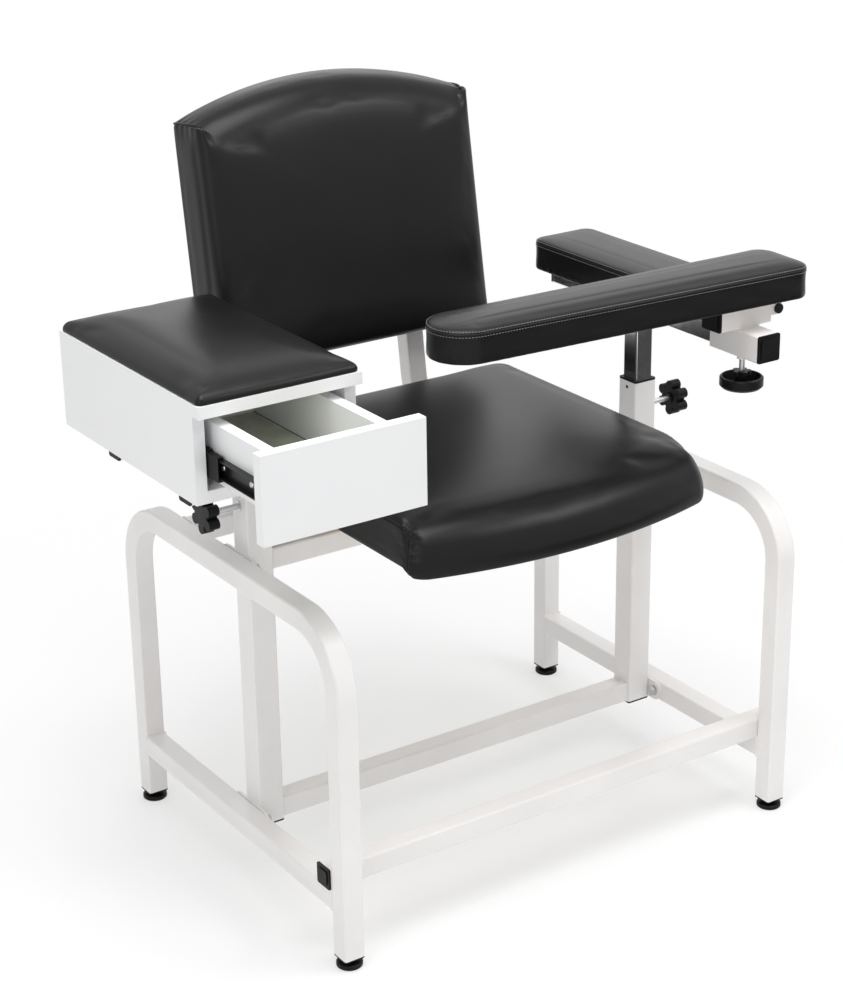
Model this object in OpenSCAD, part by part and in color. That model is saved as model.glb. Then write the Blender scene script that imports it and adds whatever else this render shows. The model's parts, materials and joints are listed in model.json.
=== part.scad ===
// Blood-drawing chair: two bent-tube side frames, a centre frame with two posts,
// a padded seat and back on two bent uprights, a flip-up arm rest on a height-set
// mast to the sitter's left, and a drawer cabinet on a height-set mast to the right.
// Sizes are worked out from the middle of the frame, the front of the front legs
// and the floor. The whole chair is then moved to the middle of its own base.

/* [Frame] */
// Width over the outer faces of the two side frames
frame_w = 750; // [700:10:820]
// Depth of a side frame over its two legs
frame_d = 572; // [540:4:640]
// Height of a side frame from its leg ends to the top of its rail
frame_h = 466; // [400:2:520]
// Side of the square tube of the side frames, bars, masts and uprights
tube = 30; // [28:1:32]
// Wall of the square tubes
tube_wall = 1.5; // [1:0.25:2]
// Radius on the outer corners of a square tube
corner_r = 3; // [2:0.5:4]
// Radius of the centre line of a bend in a side frame
bend_r = 81; // [60:1:100]
// Height of the lower rail above the leg ends
rail_rise = 63; // [40:1:120]
// Height of a levelling foot below the leg end
foot_h = 15; // [14:0.5:22]
// Diameter of a levelling foot
foot_d = 35; // [28:1:40]

/* [Posts] */
// Side of the square tube of a post
post_side = 38; // [38:1:42]
// Height of a post over its open top
post_h = 510; // [480:2:560]
// Distance from the front of the legs to the middle of the posts
post_y = 290; // [270:2:310]
// Thickness of a lug plate between a post and a side frame
lug_t = 4; // [3:0.5:6]
// Height of the black bush that stands on a post
bush_t = 3; // [2:0.5:5]

/* [Seat] */
// Width of the seat
seat_w = 486; // [420:2:510]
// Depth of the seat at its middle
seat_d = 522; // [460:2:540]
// Height of the seat pad at its edge
seat_pad_h = 58; // [50:1:70]
// How far the seat top swells at its middle
seat_crown = 9; // [4:1:14]
// How far the seat's front corners lie behind its middle
seat_bow = 39; // [20:1:60]
// Radius of the seat's front corners
seat_front_r = 36; // [28:1:80]
// Radius of the seat's back corners
seat_back_r = 24; // [18:1:40]
// Thickness of the seat board
board_t = 12; // [9:1:15]
// Distance between the middles of the two back uprights
upright_pitch = 276; // [240:2:300]

/* [Back] */
// Width of the back rest
back_w = 452; // [400:2:470]
// Height of the back rest, along its slope
back_h = 393; // [340:1:420]
// Height of the arch on the back rest's top edge
back_arch = 44; // [20:1:60]
// Thickness of the back rest at its top
back_top_t = 72; // [50:1:80]
// Thickness of the back rest at its bottom
back_bottom_t = 84; // [65:1:95]
// Backward lean of the uprights, in degrees
back_lean = 7.84456; // [5:0.2:12]
// Height of the back rest's lowest edge above the seat board
back_gap = 117; // [110:1:160]

/* [Arm rest] */
// Length of the front arm pad
arm_pad_l = 571; // [500:1:600]
// Width of the front arm pad at its inner end
arm_pad_w = 96; // [90:1:120]
// Gain in width of the front arm pad towards its hinged end
arm_pad_flare = 17; // [0:1:24]
// Turn of the front arm pad on its bracket, in degrees
arm_pad_turn = 2.3; // [0:0.1:5]
// Height of the arm pads at their edge
arm_pad_h = 42; // [34:1:50]
// Width of the rear arm pad
rear_pad_w = 109; // [100:1:125]
// Length of the rail that carries the arm pads, from which the rear pad's length follows
rail_l = 446; // [430:2:470]
// Height of the arm rail above its post's bush
rail_lift = 99; // [80:1:140]
// Length of the sliding sleeve on the rail
sleeve_l = 96; // [86:1:110]

/* [Cabinet] */
// Width of the cabinet
cabinet_w = 232; // [220:2:250]
// Length of the drawer's ball slides, from which the cabinet's depth follows
slide_l = 338; // [332:2:400]
// Height of the cabinet's sides
cabinet_h = 116; // [110:1:130]
// Thickness of the cabinet's and drawer's boards
panel_t = 16; // [12:1:18]
// Gap between the cabinet and the side of the back rest
cabinet_gap = 11; // [8:1:30]
// How far the drawer stands out of the cabinet
drawer_out = 144; // [100:2:160]
// Height of the drawer's sides
drawer_h = 76; // [66:1:80]

/* [Hidden] */
$fn = 48;

// Running gap of a sliding or turning fit, each side
run_gap = 0.06;
// Gap round a piece that is pushed in, each side
fit_gap = 0.15;
// Gap between a soft or curved face and its neighbour
soft_gap = 0.3;
// Overrun of a cut past the face that it opens
cut = 1;

// Places across the chair
inner_x = frame_w / 2 - tube;
side_x = frame_w / 2 - tube / 2;
post_x = inner_x - lug_t - post_side / 2;
post_in_x = post_x - post_side / 2;
post_out_x = post_x + post_side / 2;

// Heights above the floor
leg_z = foot_h;
frame_top = foot_h + frame_h;
top_rail_z = frame_top - tube / 2;
rail_z = foot_h + rail_rise + tube / 2;
post_z = rail_z - tube / 2;
post_top = post_z + post_h;
bush_top = post_top + bush_t;

// Levelling foot: pad, neck and threaded stem
foot_pad_h = 7;
foot_edge = 1.5;
foot_neck_r = 9;
stem_r = 4;
stem_rise = 18;
insert_flange = 2;
insert_h = 22;
foot_top = foot_h - insert_flange - soft_gap;

// Black end caps: flange, raised middle and plug
cap_t = 2.5;
cap_raise = 1.5;
cap_step = 5;
cap_plug = 12;

// Lug plates and their M8 bolts
lug_h = tube;
lug_pitch = 64;
bolt_r = 4;
bolt_hole_r = 4.2;
bolt_head_h = 5.3;
bolt_head_r = 7.5;
washer_r = 8;
washer_t = 1.6;
nut_h = 6.5;
nut_r = 7.3;
bolt_l = lug_t + tube_wall + nut_h;

// Clamp of a mast: M8 screw, rivet nut and star knob
clamp_drop = 42;
clamp_z = post_top - clamp_drop;
clamp_r = 4;
clamp_nut_r = 7;
clamp_nut_body_r = 5.4;
clamp_nut_flange = 1.2;
knob_stand = 41;
knob_t = 16;
knob_core_r = 16;
knob_lobe_r = 7.5;
knob_lobe_pitch_r = 18.5;
knob_lobes = 6;
knob_hub_r = 8;
knob_hub_h = 2;

// Bush in the top of a post, with the snap nub that shows in the post's wall
bush_depth = 28;
nub_r = 2.5;
nub_drop = 9;

// Masts
mast_below = 200;

// Bars that carry the seat
seat_bar_gap = 107;
seat_bar_y = post_y + tube / 2 + seat_bar_gap + tube / 2;
front_bar_y = tube + tube / 2;
front_bar_z = rail_z + tube;

// Bent uprights: a run under the seat and a leaning stretch up the back
upright_x = upright_pitch / 2;
upright_z = frame_top + tube / 2;
upright_front_y = 84;
upright_bend_r = 60;
upright_cover = 277;
seat_board_z = frame_top + tube;

// Seat pad
seat_front_y = -1;
seat_shift = 5;
seat_skirt = 9;
seat_lip = 12;
seat_fall = 17;
seat_fall_y = 88;
pad_bolt_r = 3;
pad_bolt_head_r = 6.4;
pad_bolt_head_h = 3.6;
pad_bolt_bite = 8;
seat_bolt_front_y = 150;
seat_bolt_back_y = 380;

// Back rest: its lowest rear edge, on the line of the uprights' front faces
back_low_z = seat_board_z + back_gap;
seat_clear = 74;
back_low_y = seat_front_y + seat_d + seat_clear;
back_corner_r = 12;
back_foot_r = 26;
back_skirt = 8;
back_crown = 13;
back_bolt_low = 75;
back_bolt_high = 205;

// Arm rest: rail, sleeve, cross tube, hinge and pads
arm_rail_z = bush_top + rail_lift + tube / 2;
arm_rail_top = arm_rail_z + tube / 2;
arm_rail_y = 30;
sleeve_y = 17;
cross_l = 87;
cross_z = arm_rail_z + post_side;
cross_top = cross_z + post_side / 2;
cross_y = 75;
cross_past = 48;
cross_x = post_x - cross_past;
cross_end_x = cross_x + cross_l;
hinge_out = 12;
hinge_drop = 20;
hinge_x = cross_end_x + hinge_out;
hinge_z = cross_top - hinge_drop;
hinge_r = 4;
hinge_head_r = 7;
hinge_head_t = 3;
ear_r = 8;
ear_t = 3;
leaf_t = 3;
leaf_l = 104;
leaf_past = 22;
leaf_foot_r = 9;
leaf_side_t = 2.5;
arm_board_t = 10;
arm_board_z = cross_top + soft_gap + leaf_t;
arm_skirt = 6;
arm_skirt_drop = 4;
arm_crown = 7;
arm_pad_past = 33;
arm_pad_end_x = hinge_x + arm_pad_past;
arm_pad_mid_y = cross_y;
arm_end_r = 26;
rear_pad_past = 3;
rear_pad_clear = 48;
rear_pad_y = sleeve_y + sleeve_l + rear_pad_clear;
rear_pad_l = arm_rail_y + rail_l + rear_pad_past - rear_pad_y;
rear_pad_corner_r = 24;
rear_pad_back_r = 20;
rear_pad_bow = 4;
rear_pad_x = post_x;
rear_screw_shares = [0.26, 0.67];

// Handwheel below the sleeve
wheel_r = 30;
wheel_z = 637;
wheel_h = 16;
wheel_floor = 5;
wheel_rim = 3.5;
wheel_hub_r = 9;
wheel_hub_h = 24;
wheel_lobe_r = 5;
wheel_lobe_pitch_r = 8;
wheel_lobes = 5;
wheel_lobe_h = 7;
wheel_lobe_rise = 1;
wheel_hub_top = wheel_hub_h - wheel_lobe_rise;
wheel_screw_seat = 3;
wheel_y = 67;
wheel_screw_r = 4;
wheel_boss_r = 7.5;
wheel_boss_h = 8;

// Cabinet on its cradle
cradle_w = 30;
cradle_h = 25;
cradle_gap = 1.5;
cradle_z = bush_top + cradle_gap;
cradle_inset = 24;
cradle_front_y = 235;
cradle_back_y = 431;
cabinet_x = -back_w / 2 - cabinet_gap - cabinet_w / 2;
cabinet_y = 161;
cabinet_z = cradle_z + cradle_h;
cabinet_top_z = cabinet_z + cabinet_h;
lid_reveal = 1;
lid_over = panel_t + lid_reveal;
pad_inset = 1;
slide_slack = 12;
cabinet_d = slide_l + panel_t + slide_slack;
cabinet_pad_h = 9;
cabinet_crown = 17;
cabinet_pad_r = 9;

// Drawer, closed against the cabinet's front when it is pushed in by drawer_out
front_gap = 1;
front_drop = 2;
drawer_y = cabinet_y - front_gap - panel_t - drawer_out;
drawer_past = 7;
drawer_l = slide_l + drawer_past;
slide_w = 12.7;
drawer_w = cabinet_w - 2 * panel_t - 2 * slide_w;
drawer_lift = 26;
drawer_z = cabinet_z + drawer_lift;
drawer_floor_t = 5;

// Ball slides between the drawer and the cabinet
slide_rise = 25;
slide_z = drawer_z + slide_rise;
slide_set = 2;
slide_t = 1.2;
slide_outer_h = 35;
slide_inner_h = 24;
slide_outer_reach = 10.5;
slide_inner_reach = 9;
cage_off = 0.4;
cage_t = 1.2;
cage_l = 170;
cage_lead = 27;
cage_y = cabinet_y - cage_lead;
cage_tab = 8;
cage_nose_l = 34;
ball_r = 2;
ball_x = 6.6;
ball_count = 5;
ball_edge = 88;
ball_mid_h = (slide_outer_h / 2 - slide_t + slide_inner_h / 2) / 2;

// Steps of the soft forms: points along each kind of stretch of an outline
n_bow = 14;
n_corner = 4;
n_side = 7;
n_end = 6;
least_r = 2;

// Outlines of the soft forms

// Points of an arc from angle a to angle b, without the last one
function arc_points(x, y, r, a, b, n) =
    [for (k = [0:n - 1]) let (t = a + (b - a) * k / n) [x + r * cos(t), y + r * sin(t)]];

// Points of a straight stretch, without the last one
function line_points(p, q, n) = [for (k = [0:n - 1]) p + (q - p) * k / n];

// A rounded outline with a bowed first edge at y = 0, drawn in by i all round.
// hw is its half width, d its depth, rf and rb the radii of its corners.
function pad_outline(hw, d, rf, rb, bow, i) =
    let (
        big = (hw * hw + bow * bow) / (2 * bow),
        cf = max(rf - i, least_r),
        cb = max(rb - i, least_r),
        w = hw - i,
        cy = big - sqrt(pow(big - i - cf, 2) - pow(w - cf, 2)),
        phi = atan2(cy - big, w - cf),
        e = d - i)
    concat(
        arc_points(0, big, big - i, -180 - phi, phi, n_bow),
        arc_points(w - cf, cy, cf, phi, 0, n_corner),
        line_points([w, cy], [w, e - cb], n_side),
        arc_points(w - cb, e - cb, cb, 0, 90, n_corner),
        line_points([w - cb, e], [cb - w, e], n_end),
        arc_points(cb - w, e - cb, cb, 90, 180, n_corner),
        line_points([-w, e - cb], [-w, cy], n_side),
        arc_points(cf - w, cy, cf, 180, 180 - phi, n_corner));

// The middle of a ring of points
function ring_middle(ring) = [for (p = ring) 1] * ring / len(ring);

// Rings of a pad as [inset, height], from the middle of its recess for the board,
// round the skirt and up its drawn-in side to the crown.
// h is the height of the side, b the recess, s the skirt's width.
function pad_rings(h, crown, b, s, hw) = [
    [hw * 0.55, b], [s, b], [s, 0], [s * 0.35, 0],
    [s * 0.12, h * 0.12], [s * 0.22, h * 0.5], [0, h * 0.82], [s * 0.12, h * 0.93],
    [s * 0.45, h], [s * 1.3, h + crown * 0.22], [hw * 0.2, h + crown * 0.6],
    [hw * 0.4, h + crown * 0.88], [hw * 0.62, h + crown]];

// A closed solid through rings of equal length
module lofted(rings) {
    n = len(rings[0]);
    m = len(rings);
    points = concat([for (r = rings) each r], [ring_middle(rings[0]), ring_middle(rings[m - 1])]);
    sides = [for (j = [0:m - 2], k = [0:n - 1]) let (q = (k + 1) % n)
        each [[j * n + k, (j + 1) * n + q, j * n + q], [j * n + k, (j + 1) * n + k, (j + 1) * n + q]]];
    low = [for (k = [0:n - 1]) [m * n, k, (k + 1) % n]];
    high = [for (k = [0:n - 1]) [m * n + 1, (m - 1) * n + (k + 1) % n, (m - 1) * n + k]];
    polyhedron(points = points, faces = concat(sides, low, high));
}

// Tubes, caps and fasteners

module rounded_rect(w, h, r) {
    square([w - 2 * r, h], center = true);
    square([w, h - 2 * r], center = true);
    for (x = [-1, 1], y = [-1, 1])
        translate([x * (w / 2 - r), y * (h / 2 - r)])
            circle(r = r);
}

module tube_profile(w, h, wall) {
    difference() {
        rounded_rect(w, h, corner_r);
        square([w - 2 * wall, h - 2 * wall], center = true);
    }
}

module tube_x(x0, x1, y, z, w, h) {
    translate([x0, y, z])
        rotate([90, 0, 90])
            linear_extrude(x1 - x0)
                tube_profile(w, h, tube_wall);
}

module tube_y(y0, y1, x, z, side, wall) {
    translate([x, y0, z])
        rotate([-90, 0, 0])
            linear_extrude(y1 - y0)
                tube_profile(side, side, wall);
}

module tube_z(z0, z1, x, y, side) {
    translate([x, y, z0])
        linear_extrude(z1 - z0)
            tube_profile(side, side, tube_wall);
}

// A cap on a tube end at the origin, with its face towards +Z
module end_cap(w, h, wall) {
    linear_extrude(cap_t)
        rounded_rect(w, h, corner_r);
    linear_extrude(cap_t + cap_raise)
        rounded_rect(w - 2 * cap_step, h - 2 * cap_step, corner_r);
    translate([0, 0, -cap_plug])
        linear_extrude(cap_plug)
            square([w - 2 * wall - 2 * fit_gap, h - 2 * wall - 2 * fit_gap], center = true);
}

// A hexagon-head bolt through the origin: head below, shank along +Z
module hex_bolt(r, head_r, head_h, length) {
    translate([0, 0, -head_h])
        cylinder(r = head_r, h = head_h, $fn = 6);
    cylinder(r = r, h = length);
}

module at_origin() {
    translate([-origin_x, -origin_y, 0])
        children();
}

// Side frames

// The bent tube lies in the plane of its own X and Y before it is stood up
module bent_leg_tube() {
    straight = top_rail_z - bend_r - leg_z;
    run = frame_d - tube - 2 * bend_r;
    for (side = [0, 1]) {
        translate([side == 0 ? tube / 2 : frame_d - tube / 2, leg_z, 0])
            rotate([-90, 0, 0])
                linear_extrude(straight)
                    tube_profile(tube, tube, tube_wall);
        translate([side == 0 ? tube / 2 + bend_r : frame_d - tube / 2 - bend_r, leg_z + straight, 0])
            rotate([0, 0, side == 0 ? 90 : 0])
                rotate_extrude(angle = 90)
                    translate([bend_r, 0])
                        tube_profile(tube, tube, tube_wall);
    }
    translate([tube / 2 + bend_r, top_rail_z, 0])
        rotate([0, 90, 0])
            linear_extrude(run)
                tube_profile(tube, tube, tube_wall);
}

// Holes in the inner wall of a side tube for the two bolts of a lug plate
module lug_holes(side, z) {
    for (s = [-1, 1])
        translate([side * (inner_x + tube_wall / 2), post_y + s * lug_pitch / 2, z])
            rotate([0, 90, 0])
                cylinder(r = bolt_hole_r, h = tube_wall + 2 * cut, center = true);
}

module side_frame(side) {
    color("whitesmoke")
        at_origin()
            difference() {
                translate([side * side_x, 0, 0])
                    rotate([90, 0, 90])
                        bent_leg_tube();
                lug_holes(side, top_rail_z);
            }
}

module lower_rails() {
    color("whitesmoke")
        at_origin()
            for (side = [-1, 1])
                difference() {
                    tube_y(tube, frame_d - tube, side * side_x, rail_z, tube, tube_wall);
                    lug_holes(side, rail_z);
                }
}

// Black inserts in the leg ends, threaded for the feet
module leg_inserts() {
    inner = tube - 2 * tube_wall - 2 * fit_gap;
    color("dimgray")
        at_origin()
            for (side = [-1, 1], y = [tube / 2, frame_d - tube / 2])
                translate([side * side_x, y, leg_z])
                    difference() {
                        union() {
                            translate([0, 0, -insert_flange])
                                linear_extrude(insert_flange)
                                    rounded_rect(tube, tube, corner_r);
                            linear_extrude(insert_h)
                                square(inner, center = true);
                        }
                        translate([0, 0, -insert_flange - cut])
                            cylinder(r = stem_r + run_gap, h = insert_h + insert_flange + 2 * cut);
                    }
}

module foot(side, y) {
    r = foot_d / 2;
    color("dimgray")
        at_origin()
            translate([side * side_x, y, 0])
                rotate_extrude()
                    polygon([[0, 0], [r - foot_edge, 0], [r, foot_edge], [r, foot_pad_h - foot_edge],
                        [r - foot_edge, foot_pad_h], [foot_neck_r, foot_pad_h + foot_edge],
                        [foot_neck_r, foot_top], [stem_r, foot_top],
                        [stem_r, foot_top + stem_rise], [0, foot_top + stem_rise]]);
}

// Centre frame

module front_crossbar() {
    color("whitesmoke")
        at_origin()
            tube_x(-frame_w / 2, frame_w / 2, front_bar_y, front_bar_z, tube, tube);
}

module post(side) {
    color("whitesmoke")
        at_origin()
            difference() {
                tube_z(post_z, post_top, side * post_x, post_y, post_side);
                translate([side * (post_out_x - tube_wall / 2), post_y, clamp_z])
                    rotate([0, 90, 0])
                        cylinder(r = clamp_nut_body_r + fit_gap, h = tube_wall + 2 * cut, center = true);
                translate([side * post_x - post_side / 2 + tube_wall / 2, post_y, post_top - nub_drop])
                    rotate([0, 90, 0])
                        cylinder(r = nub_r + fit_gap, h = tube_wall + 2 * cut, center = true);
            }
}

module post_crossbars() {
    color("whitesmoke")
        at_origin()
            for (z = [rail_z, top_rail_z])
                tube_x(-post_in_x, post_in_x, post_y, z, tube, tube);
}

// Bushes that guide the masts in the posts
module post_bushes() {
    inner = post_side - 2 * tube_wall - 2 * fit_gap;
    bore = tube + 2 * run_gap;
    color("dimgray")
        at_origin()
            for (side = [-1, 1])
                translate([side * post_x, post_y, post_top]) {
                    difference() {
                        union() {
                            linear_extrude(bush_t)
                                rounded_rect(post_side, post_side, corner_r);
                            translate([0, 0, -bush_depth])
                                linear_extrude(bush_depth)
                                    square(inner, center = true);
                            translate([-post_side / 2, 0, -nub_drop])
                                rotate([0, 90, 0])
                                    cylinder(r = nub_r, h = tube_wall + 2 * fit_gap);
                        }
                        translate([0, 0, -bush_depth - cut])
                            linear_extrude(bush_depth + bush_t + 2 * cut)
                                square(bore, center = true);
                    }
                }
}

module rear_seat_bar() {
    color("whitesmoke")
        at_origin()
            tube_x(-inner_x, inner_x, seat_bar_y, top_rail_z, tube, tube);
}

module lug_plates() {
    color("whitesmoke")
        at_origin()
            for (side = [-1, 1], z = [rail_z, top_rail_z])
                translate([side * (inner_x - lug_t / 2), post_y, z])
                    rotate([90, 0, 90])
                        translate([0, 0, -lug_t / 2])
                            difference() {
                                linear_extrude(lug_t) {
                                    square([lug_pitch, lug_h], center = true);
                                    for (s = [-1, 1])
                                        translate([s * lug_pitch / 2, 0])
                                            circle(d = lug_h);
                                }
                                for (s = [-1, 1])
                                    translate([s * lug_pitch / 2, 0, -cut])
                                        cylinder(r = bolt_hole_r, h = lug_t + 2 * cut);
                            }
}

// Bolts with washers under their heads, and the nuts inside the side tubes
module lug_fasteners() {
    color("silver")
        at_origin()
            for (side = [-1, 1], z = [rail_z, top_rail_z], s = [-1, 1])
                translate([side * (inner_x - lug_t), post_y + s * lug_pitch / 2, z])
                    rotate([0, side * 90, 0]) {
                        translate([0, 0, -washer_t])
                            cylinder(r = washer_r, h = washer_t);
                        translate([0, 0, -washer_t])
                            hex_bolt(bolt_r, bolt_head_r, bolt_head_h, washer_t + bolt_l);
                        translate([0, 0, lug_t + tube_wall])
                            difference() {
                                cylinder(r = nut_r, h = nut_h - cap_raise, $fn = 6);
                                translate([0, 0, -cut])
                                    cylinder(r = bolt_hole_r, h = nut_h + 2 * cut);
                            }
                    }
}

// Black caps on the crossbar ends, in the post bottoms and on the upright ends
module frame_caps() {
    color("dimgray")
        at_origin() {
            for (side = [-1, 1]) {
                translate([side * frame_w / 2, front_bar_y, front_bar_z])
                    rotate([0, side * 90, 0])
                        end_cap(tube, tube, tube_wall);
                translate([side * post_x, post_y, post_z])
                    rotate([180, 0, 0])
                        end_cap(post_side, post_side, tube_wall);
                translate([side * upright_x, upright_front_y, upright_z])
                    rotate([90, 0, 0])
                        end_cap(tube, tube, tube_wall);
                translate([side * upright_x, 0, 0])
                    upright_top_place()
                        end_cap(tube, tube, tube_wall);
            }
        }
}

module clamp_nuts() {
    reach = post_side / 2 - tube / 2 - soft_gap;
    color("silver")
        at_origin()
            for (side = [-1, 1])
                translate([side * post_out_x, post_y, clamp_z])
                    rotate([0, side * 90, 0])
                        difference() {
                            union() {
                                cylinder(r = clamp_nut_r, h = clamp_nut_flange);
                                translate([0, 0, -reach])
                                    cylinder(r = clamp_nut_body_r, h = reach + clamp_nut_flange);
                            }
                            translate([0, 0, -reach - cut])
                                cylinder(r = clamp_r + run_gap, h = reach + clamp_nut_flange + 2 * cut);
                        }
}

// Uprights

// The leaning line of an upright: its middle passes through this point
lean_y = back_low_y + tube / 2 * cos(back_lean);
lean_z = back_low_z - tube / 2 * sin(back_lean);
// Where the leaning line meets the line of the run under the seat
knee_y = lean_y - (lean_z - upright_z) * tan(back_lean);
bend_turn = 90 - back_lean;
bend_reach = upright_bend_r * tan(bend_turn / 2);
upright_run = knee_y - bend_reach - upright_front_y;
lean_l = (lean_z - upright_z) / cos(back_lean) - bend_reach + upright_cover;
upright_top_y = knee_y + (bend_reach + lean_l) * sin(back_lean);
upright_top_z = upright_z + (bend_reach + lean_l) * cos(back_lean);

module upright_top_place() {
    translate([0, upright_top_y, upright_top_z])
        rotate([-back_lean, 0, 0])
            children();
}

module back_upright(side) {
    color("whitesmoke")
        at_origin()
            difference() {
                translate([side * upright_x, upright_front_y, upright_z])
                    rotate([90, 0, 90]) {
                        rotate([0, 90, 0])
                            linear_extrude(upright_run)
                                tube_profile(tube, tube, tube_wall);
                        translate([upright_run, upright_bend_r, 0]) {
                            difference() {
                                rotate([0, 0, -90])
                                    rotate_extrude(angle = 90)
                                        translate([upright_bend_r, 0])
                                            tube_profile(tube, tube, tube_wall);
                                rotate([0, 0, -back_lean])
                                    translate([0, 0, -tube])
                                        cube([2 * upright_bend_r, 2 * upright_bend_r, 2 * tube]);
                            }
                            rotate([0, 0, -back_lean])
                                translate([upright_bend_r, 0, 0])
                                    rotate([-90, 0, 0])
                                        linear_extrude(lean_l)
                                            tube_profile(tube, tube, tube_wall);
                        }
                    }
                pad_bolt_places(side)
                    translate([0, 0, -cut])
                        cylinder(r = pad_bolt_r + fit_gap, h = tube + 2 * cut);
            }
}

// Places of the bolts that hold the two boards, on the outer face of an upright
// and pointing into the board
module pad_bolt_places(side) {
    for (y = [seat_bolt_front_y, seat_bolt_back_y])
        translate([side * upright_x, y, upright_z - tube / 2])
            children();
    for (rise = [back_bolt_low, back_bolt_high])
        translate([side * upright_x, back_low_y, back_low_z])
            rotate([-back_lean, 0, 0])
                translate([0, tube, rise])
                    rotate([90, 0, 0])
                        children();
}

module pad_bolts() {
    color("silver")
        at_origin()
            for (side = [-1, 1])
                pad_bolt_places(side)
                    hex_bolt(pad_bolt_r, pad_bolt_head_r, pad_bolt_head_h, tube + pad_bolt_bite);
}

// Holes of the bolts in a board
module pad_bolt_holes() {
    for (side = [-1, 1])
        pad_bolt_places(side)
            cylinder(r = pad_bolt_r + fit_gap, h = tube + pad_bolt_bite + fit_gap);
}

// Seat

function seat_outline(i) =
    pad_outline(seat_w / 2, seat_d, seat_front_r, seat_back_r, seat_bow, i);

// How near a point is to the seat's front edge, from 0 behind the fall to 1
function seat_front_share(y) = max(0, 1 - y / seat_fall_y);

// The front of the seat rolls down, and its skirt hangs below the board there
function seat_point(p, z) =
    let (f = seat_front_share(p[1]), up = max(0, z - board_t) / (seat_pad_h - board_t))
    [seat_shift + p[0], seat_front_y + p[1],
        seat_board_z + z - up * seat_fall * f * f - (z > 0 ? 0 : seat_lip * f)];

module seat_board() {
    color("burlywood")
        at_origin()
            difference() {
                translate([seat_shift, seat_front_y, seat_board_z])
                    linear_extrude(board_t)
                        polygon(seat_outline(seat_skirt + soft_gap));
                pad_bolt_holes();
            }
}

module seat_cushion() {
    color("dimgray")
        at_origin()
            lofted([for (r = pad_rings(seat_pad_h, seat_crown, board_t, seat_skirt, seat_w / 2))
                [for (p = seat_outline(r[0])) seat_point(p, r[1])]]);
}

// Back rest, worked out along its slope from its lowest rear edge

function back_outline(i) =
    pad_outline(back_w / 2, back_h, back_corner_r, back_foot_r, back_arch, i);

// Thickness of the back rest at a distance down from its top
function back_t(down) = back_top_t + (back_bottom_t - back_top_t) * down / back_h;

// A point of the back rest: across, down from the top, and out from the rear face
function back_point(p, out) =
    let (rise = back_h - p[1])
    [p[0],
        back_low_y + rise * sin(back_lean) - out * cos(back_lean),
        back_low_z + rise * cos(back_lean) + out * sin(back_lean)];

module back_board() {
    color("dimgray")
        at_origin()
            difference() {
                translate([0, back_low_y, back_low_z])
                    rotate([-back_lean, 0, 0])
                        translate([0, 0, back_h])
                            rotate([-90, 0, 0])
                                mirror([0, 0, 1])
                                    linear_extrude(board_t)
                                        polygon(back_outline(back_skirt + soft_gap));
                pad_bolt_holes();
            }
}

// The rings are spread over a unit thickness that grows towards the bottom
module back_cushion() {
    pocket = board_t + fit_gap;
    color("dimgray")
        at_origin()
            lofted([for (r = pad_rings(back_top_t, back_crown, pocket, back_skirt, back_w / 2))
                [for (p = back_outline(r[0]))
                    back_point(p, r[1] > pocket ? r[1] * back_t(p[1]) / back_top_t : r[1])]]);
}

// Arm rest

module arm_mast() {
    color("silver")
        at_origin()
            tube_z(arm_rail_z - tube / 2 - rail_lift - mast_below, arm_rail_z - tube / 2,
                post_x, post_y, tube);
}

module arm_rail() {
    color("silver")
        at_origin()
            difference() {
                tube_y(arm_rail_y, arm_rail_y + rail_l, post_x, arm_rail_z, tube, tube_wall);
                rear_screw_places()
                    translate([0, 0, -cut])
                        cylinder(r = pad_bolt_r + fit_gap, h = tube + 2 * cut);
            }
}

module arm_rail_cap() {
    color("dimgray")
        at_origin()
            translate([post_x, arm_rail_y + rail_l, arm_rail_z])
                rotate([-90, 0, 0])
                    end_cap(tube, tube, tube_wall);
}

// The two screws of the rear arm pad, up through the rail
module rear_screw_places() {
    low = post_y + tube / 2;
    for (share = rear_screw_shares)
        translate([post_x, low + share * (arm_rail_y + rail_l - low), arm_rail_z - tube / 2])
            children();
}

module rear_arm_screws() {
    color("silver")
        at_origin()
            rear_screw_places()
                hex_bolt(pad_bolt_r, pad_bolt_head_r, pad_bolt_head_h, tube + pad_bolt_bite - board_t / 4);
}

function rear_arm_outline(i) =
    pad_outline(rear_pad_w / 2, rear_pad_l, rear_pad_corner_r, rear_pad_back_r, rear_pad_bow, i);

module rear_arm_board() {
    color("burlywood")
        at_origin()
            difference() {
                translate([rear_pad_x, rear_pad_y, arm_rail_top])
                    linear_extrude(arm_board_t)
                        polygon(rear_arm_outline(arm_skirt + soft_gap));
                rear_screw_places()
                    cylinder(r = pad_bolt_r + fit_gap, h = tube + pad_bolt_bite);
            }
}

module rear_arm_cushion() {
    recess = arm_board_t - soft_gap;
    color("dimgray")
        at_origin()
            lofted([for (r = pad_rings(arm_pad_h, arm_crown, recess, arm_skirt, rear_pad_w / 2))
                [for (p = rear_arm_outline(r[0]))
                    [rear_pad_x + p[0], rear_pad_y + p[1], arm_rail_top + soft_gap + r[1]]]]);
}

// Star knob on its screw, pointing away from the chair's middle
module knob_place(side) {
    translate([side * (post_out_x + knob_stand), post_y, clamp_z])
        rotate([0, side * 90, 0])
            children();
}

module clamp_knob(side) {
    color("dimgray")
        at_origin()
            knob_place(side)
                difference() {
                    union() {
                        cylinder(r = knob_core_r, h = knob_t);
                        translate([0, 0, -knob_hub_h])
                            cylinder(r = knob_hub_r, h = knob_hub_h);
                        for (k = [0:knob_lobes - 1])
                            rotate([0, 0, k * 360 / knob_lobes])
                                translate([knob_lobe_pitch_r, 0, 0])
                                    cylinder(r = knob_lobe_r, h = knob_t);
                    }
                    translate([0, 0, -knob_hub_h - cut])
                        cylinder(r = clamp_r, h = knob_hub_h + knob_t / 2 + cut);
                }
}

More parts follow.
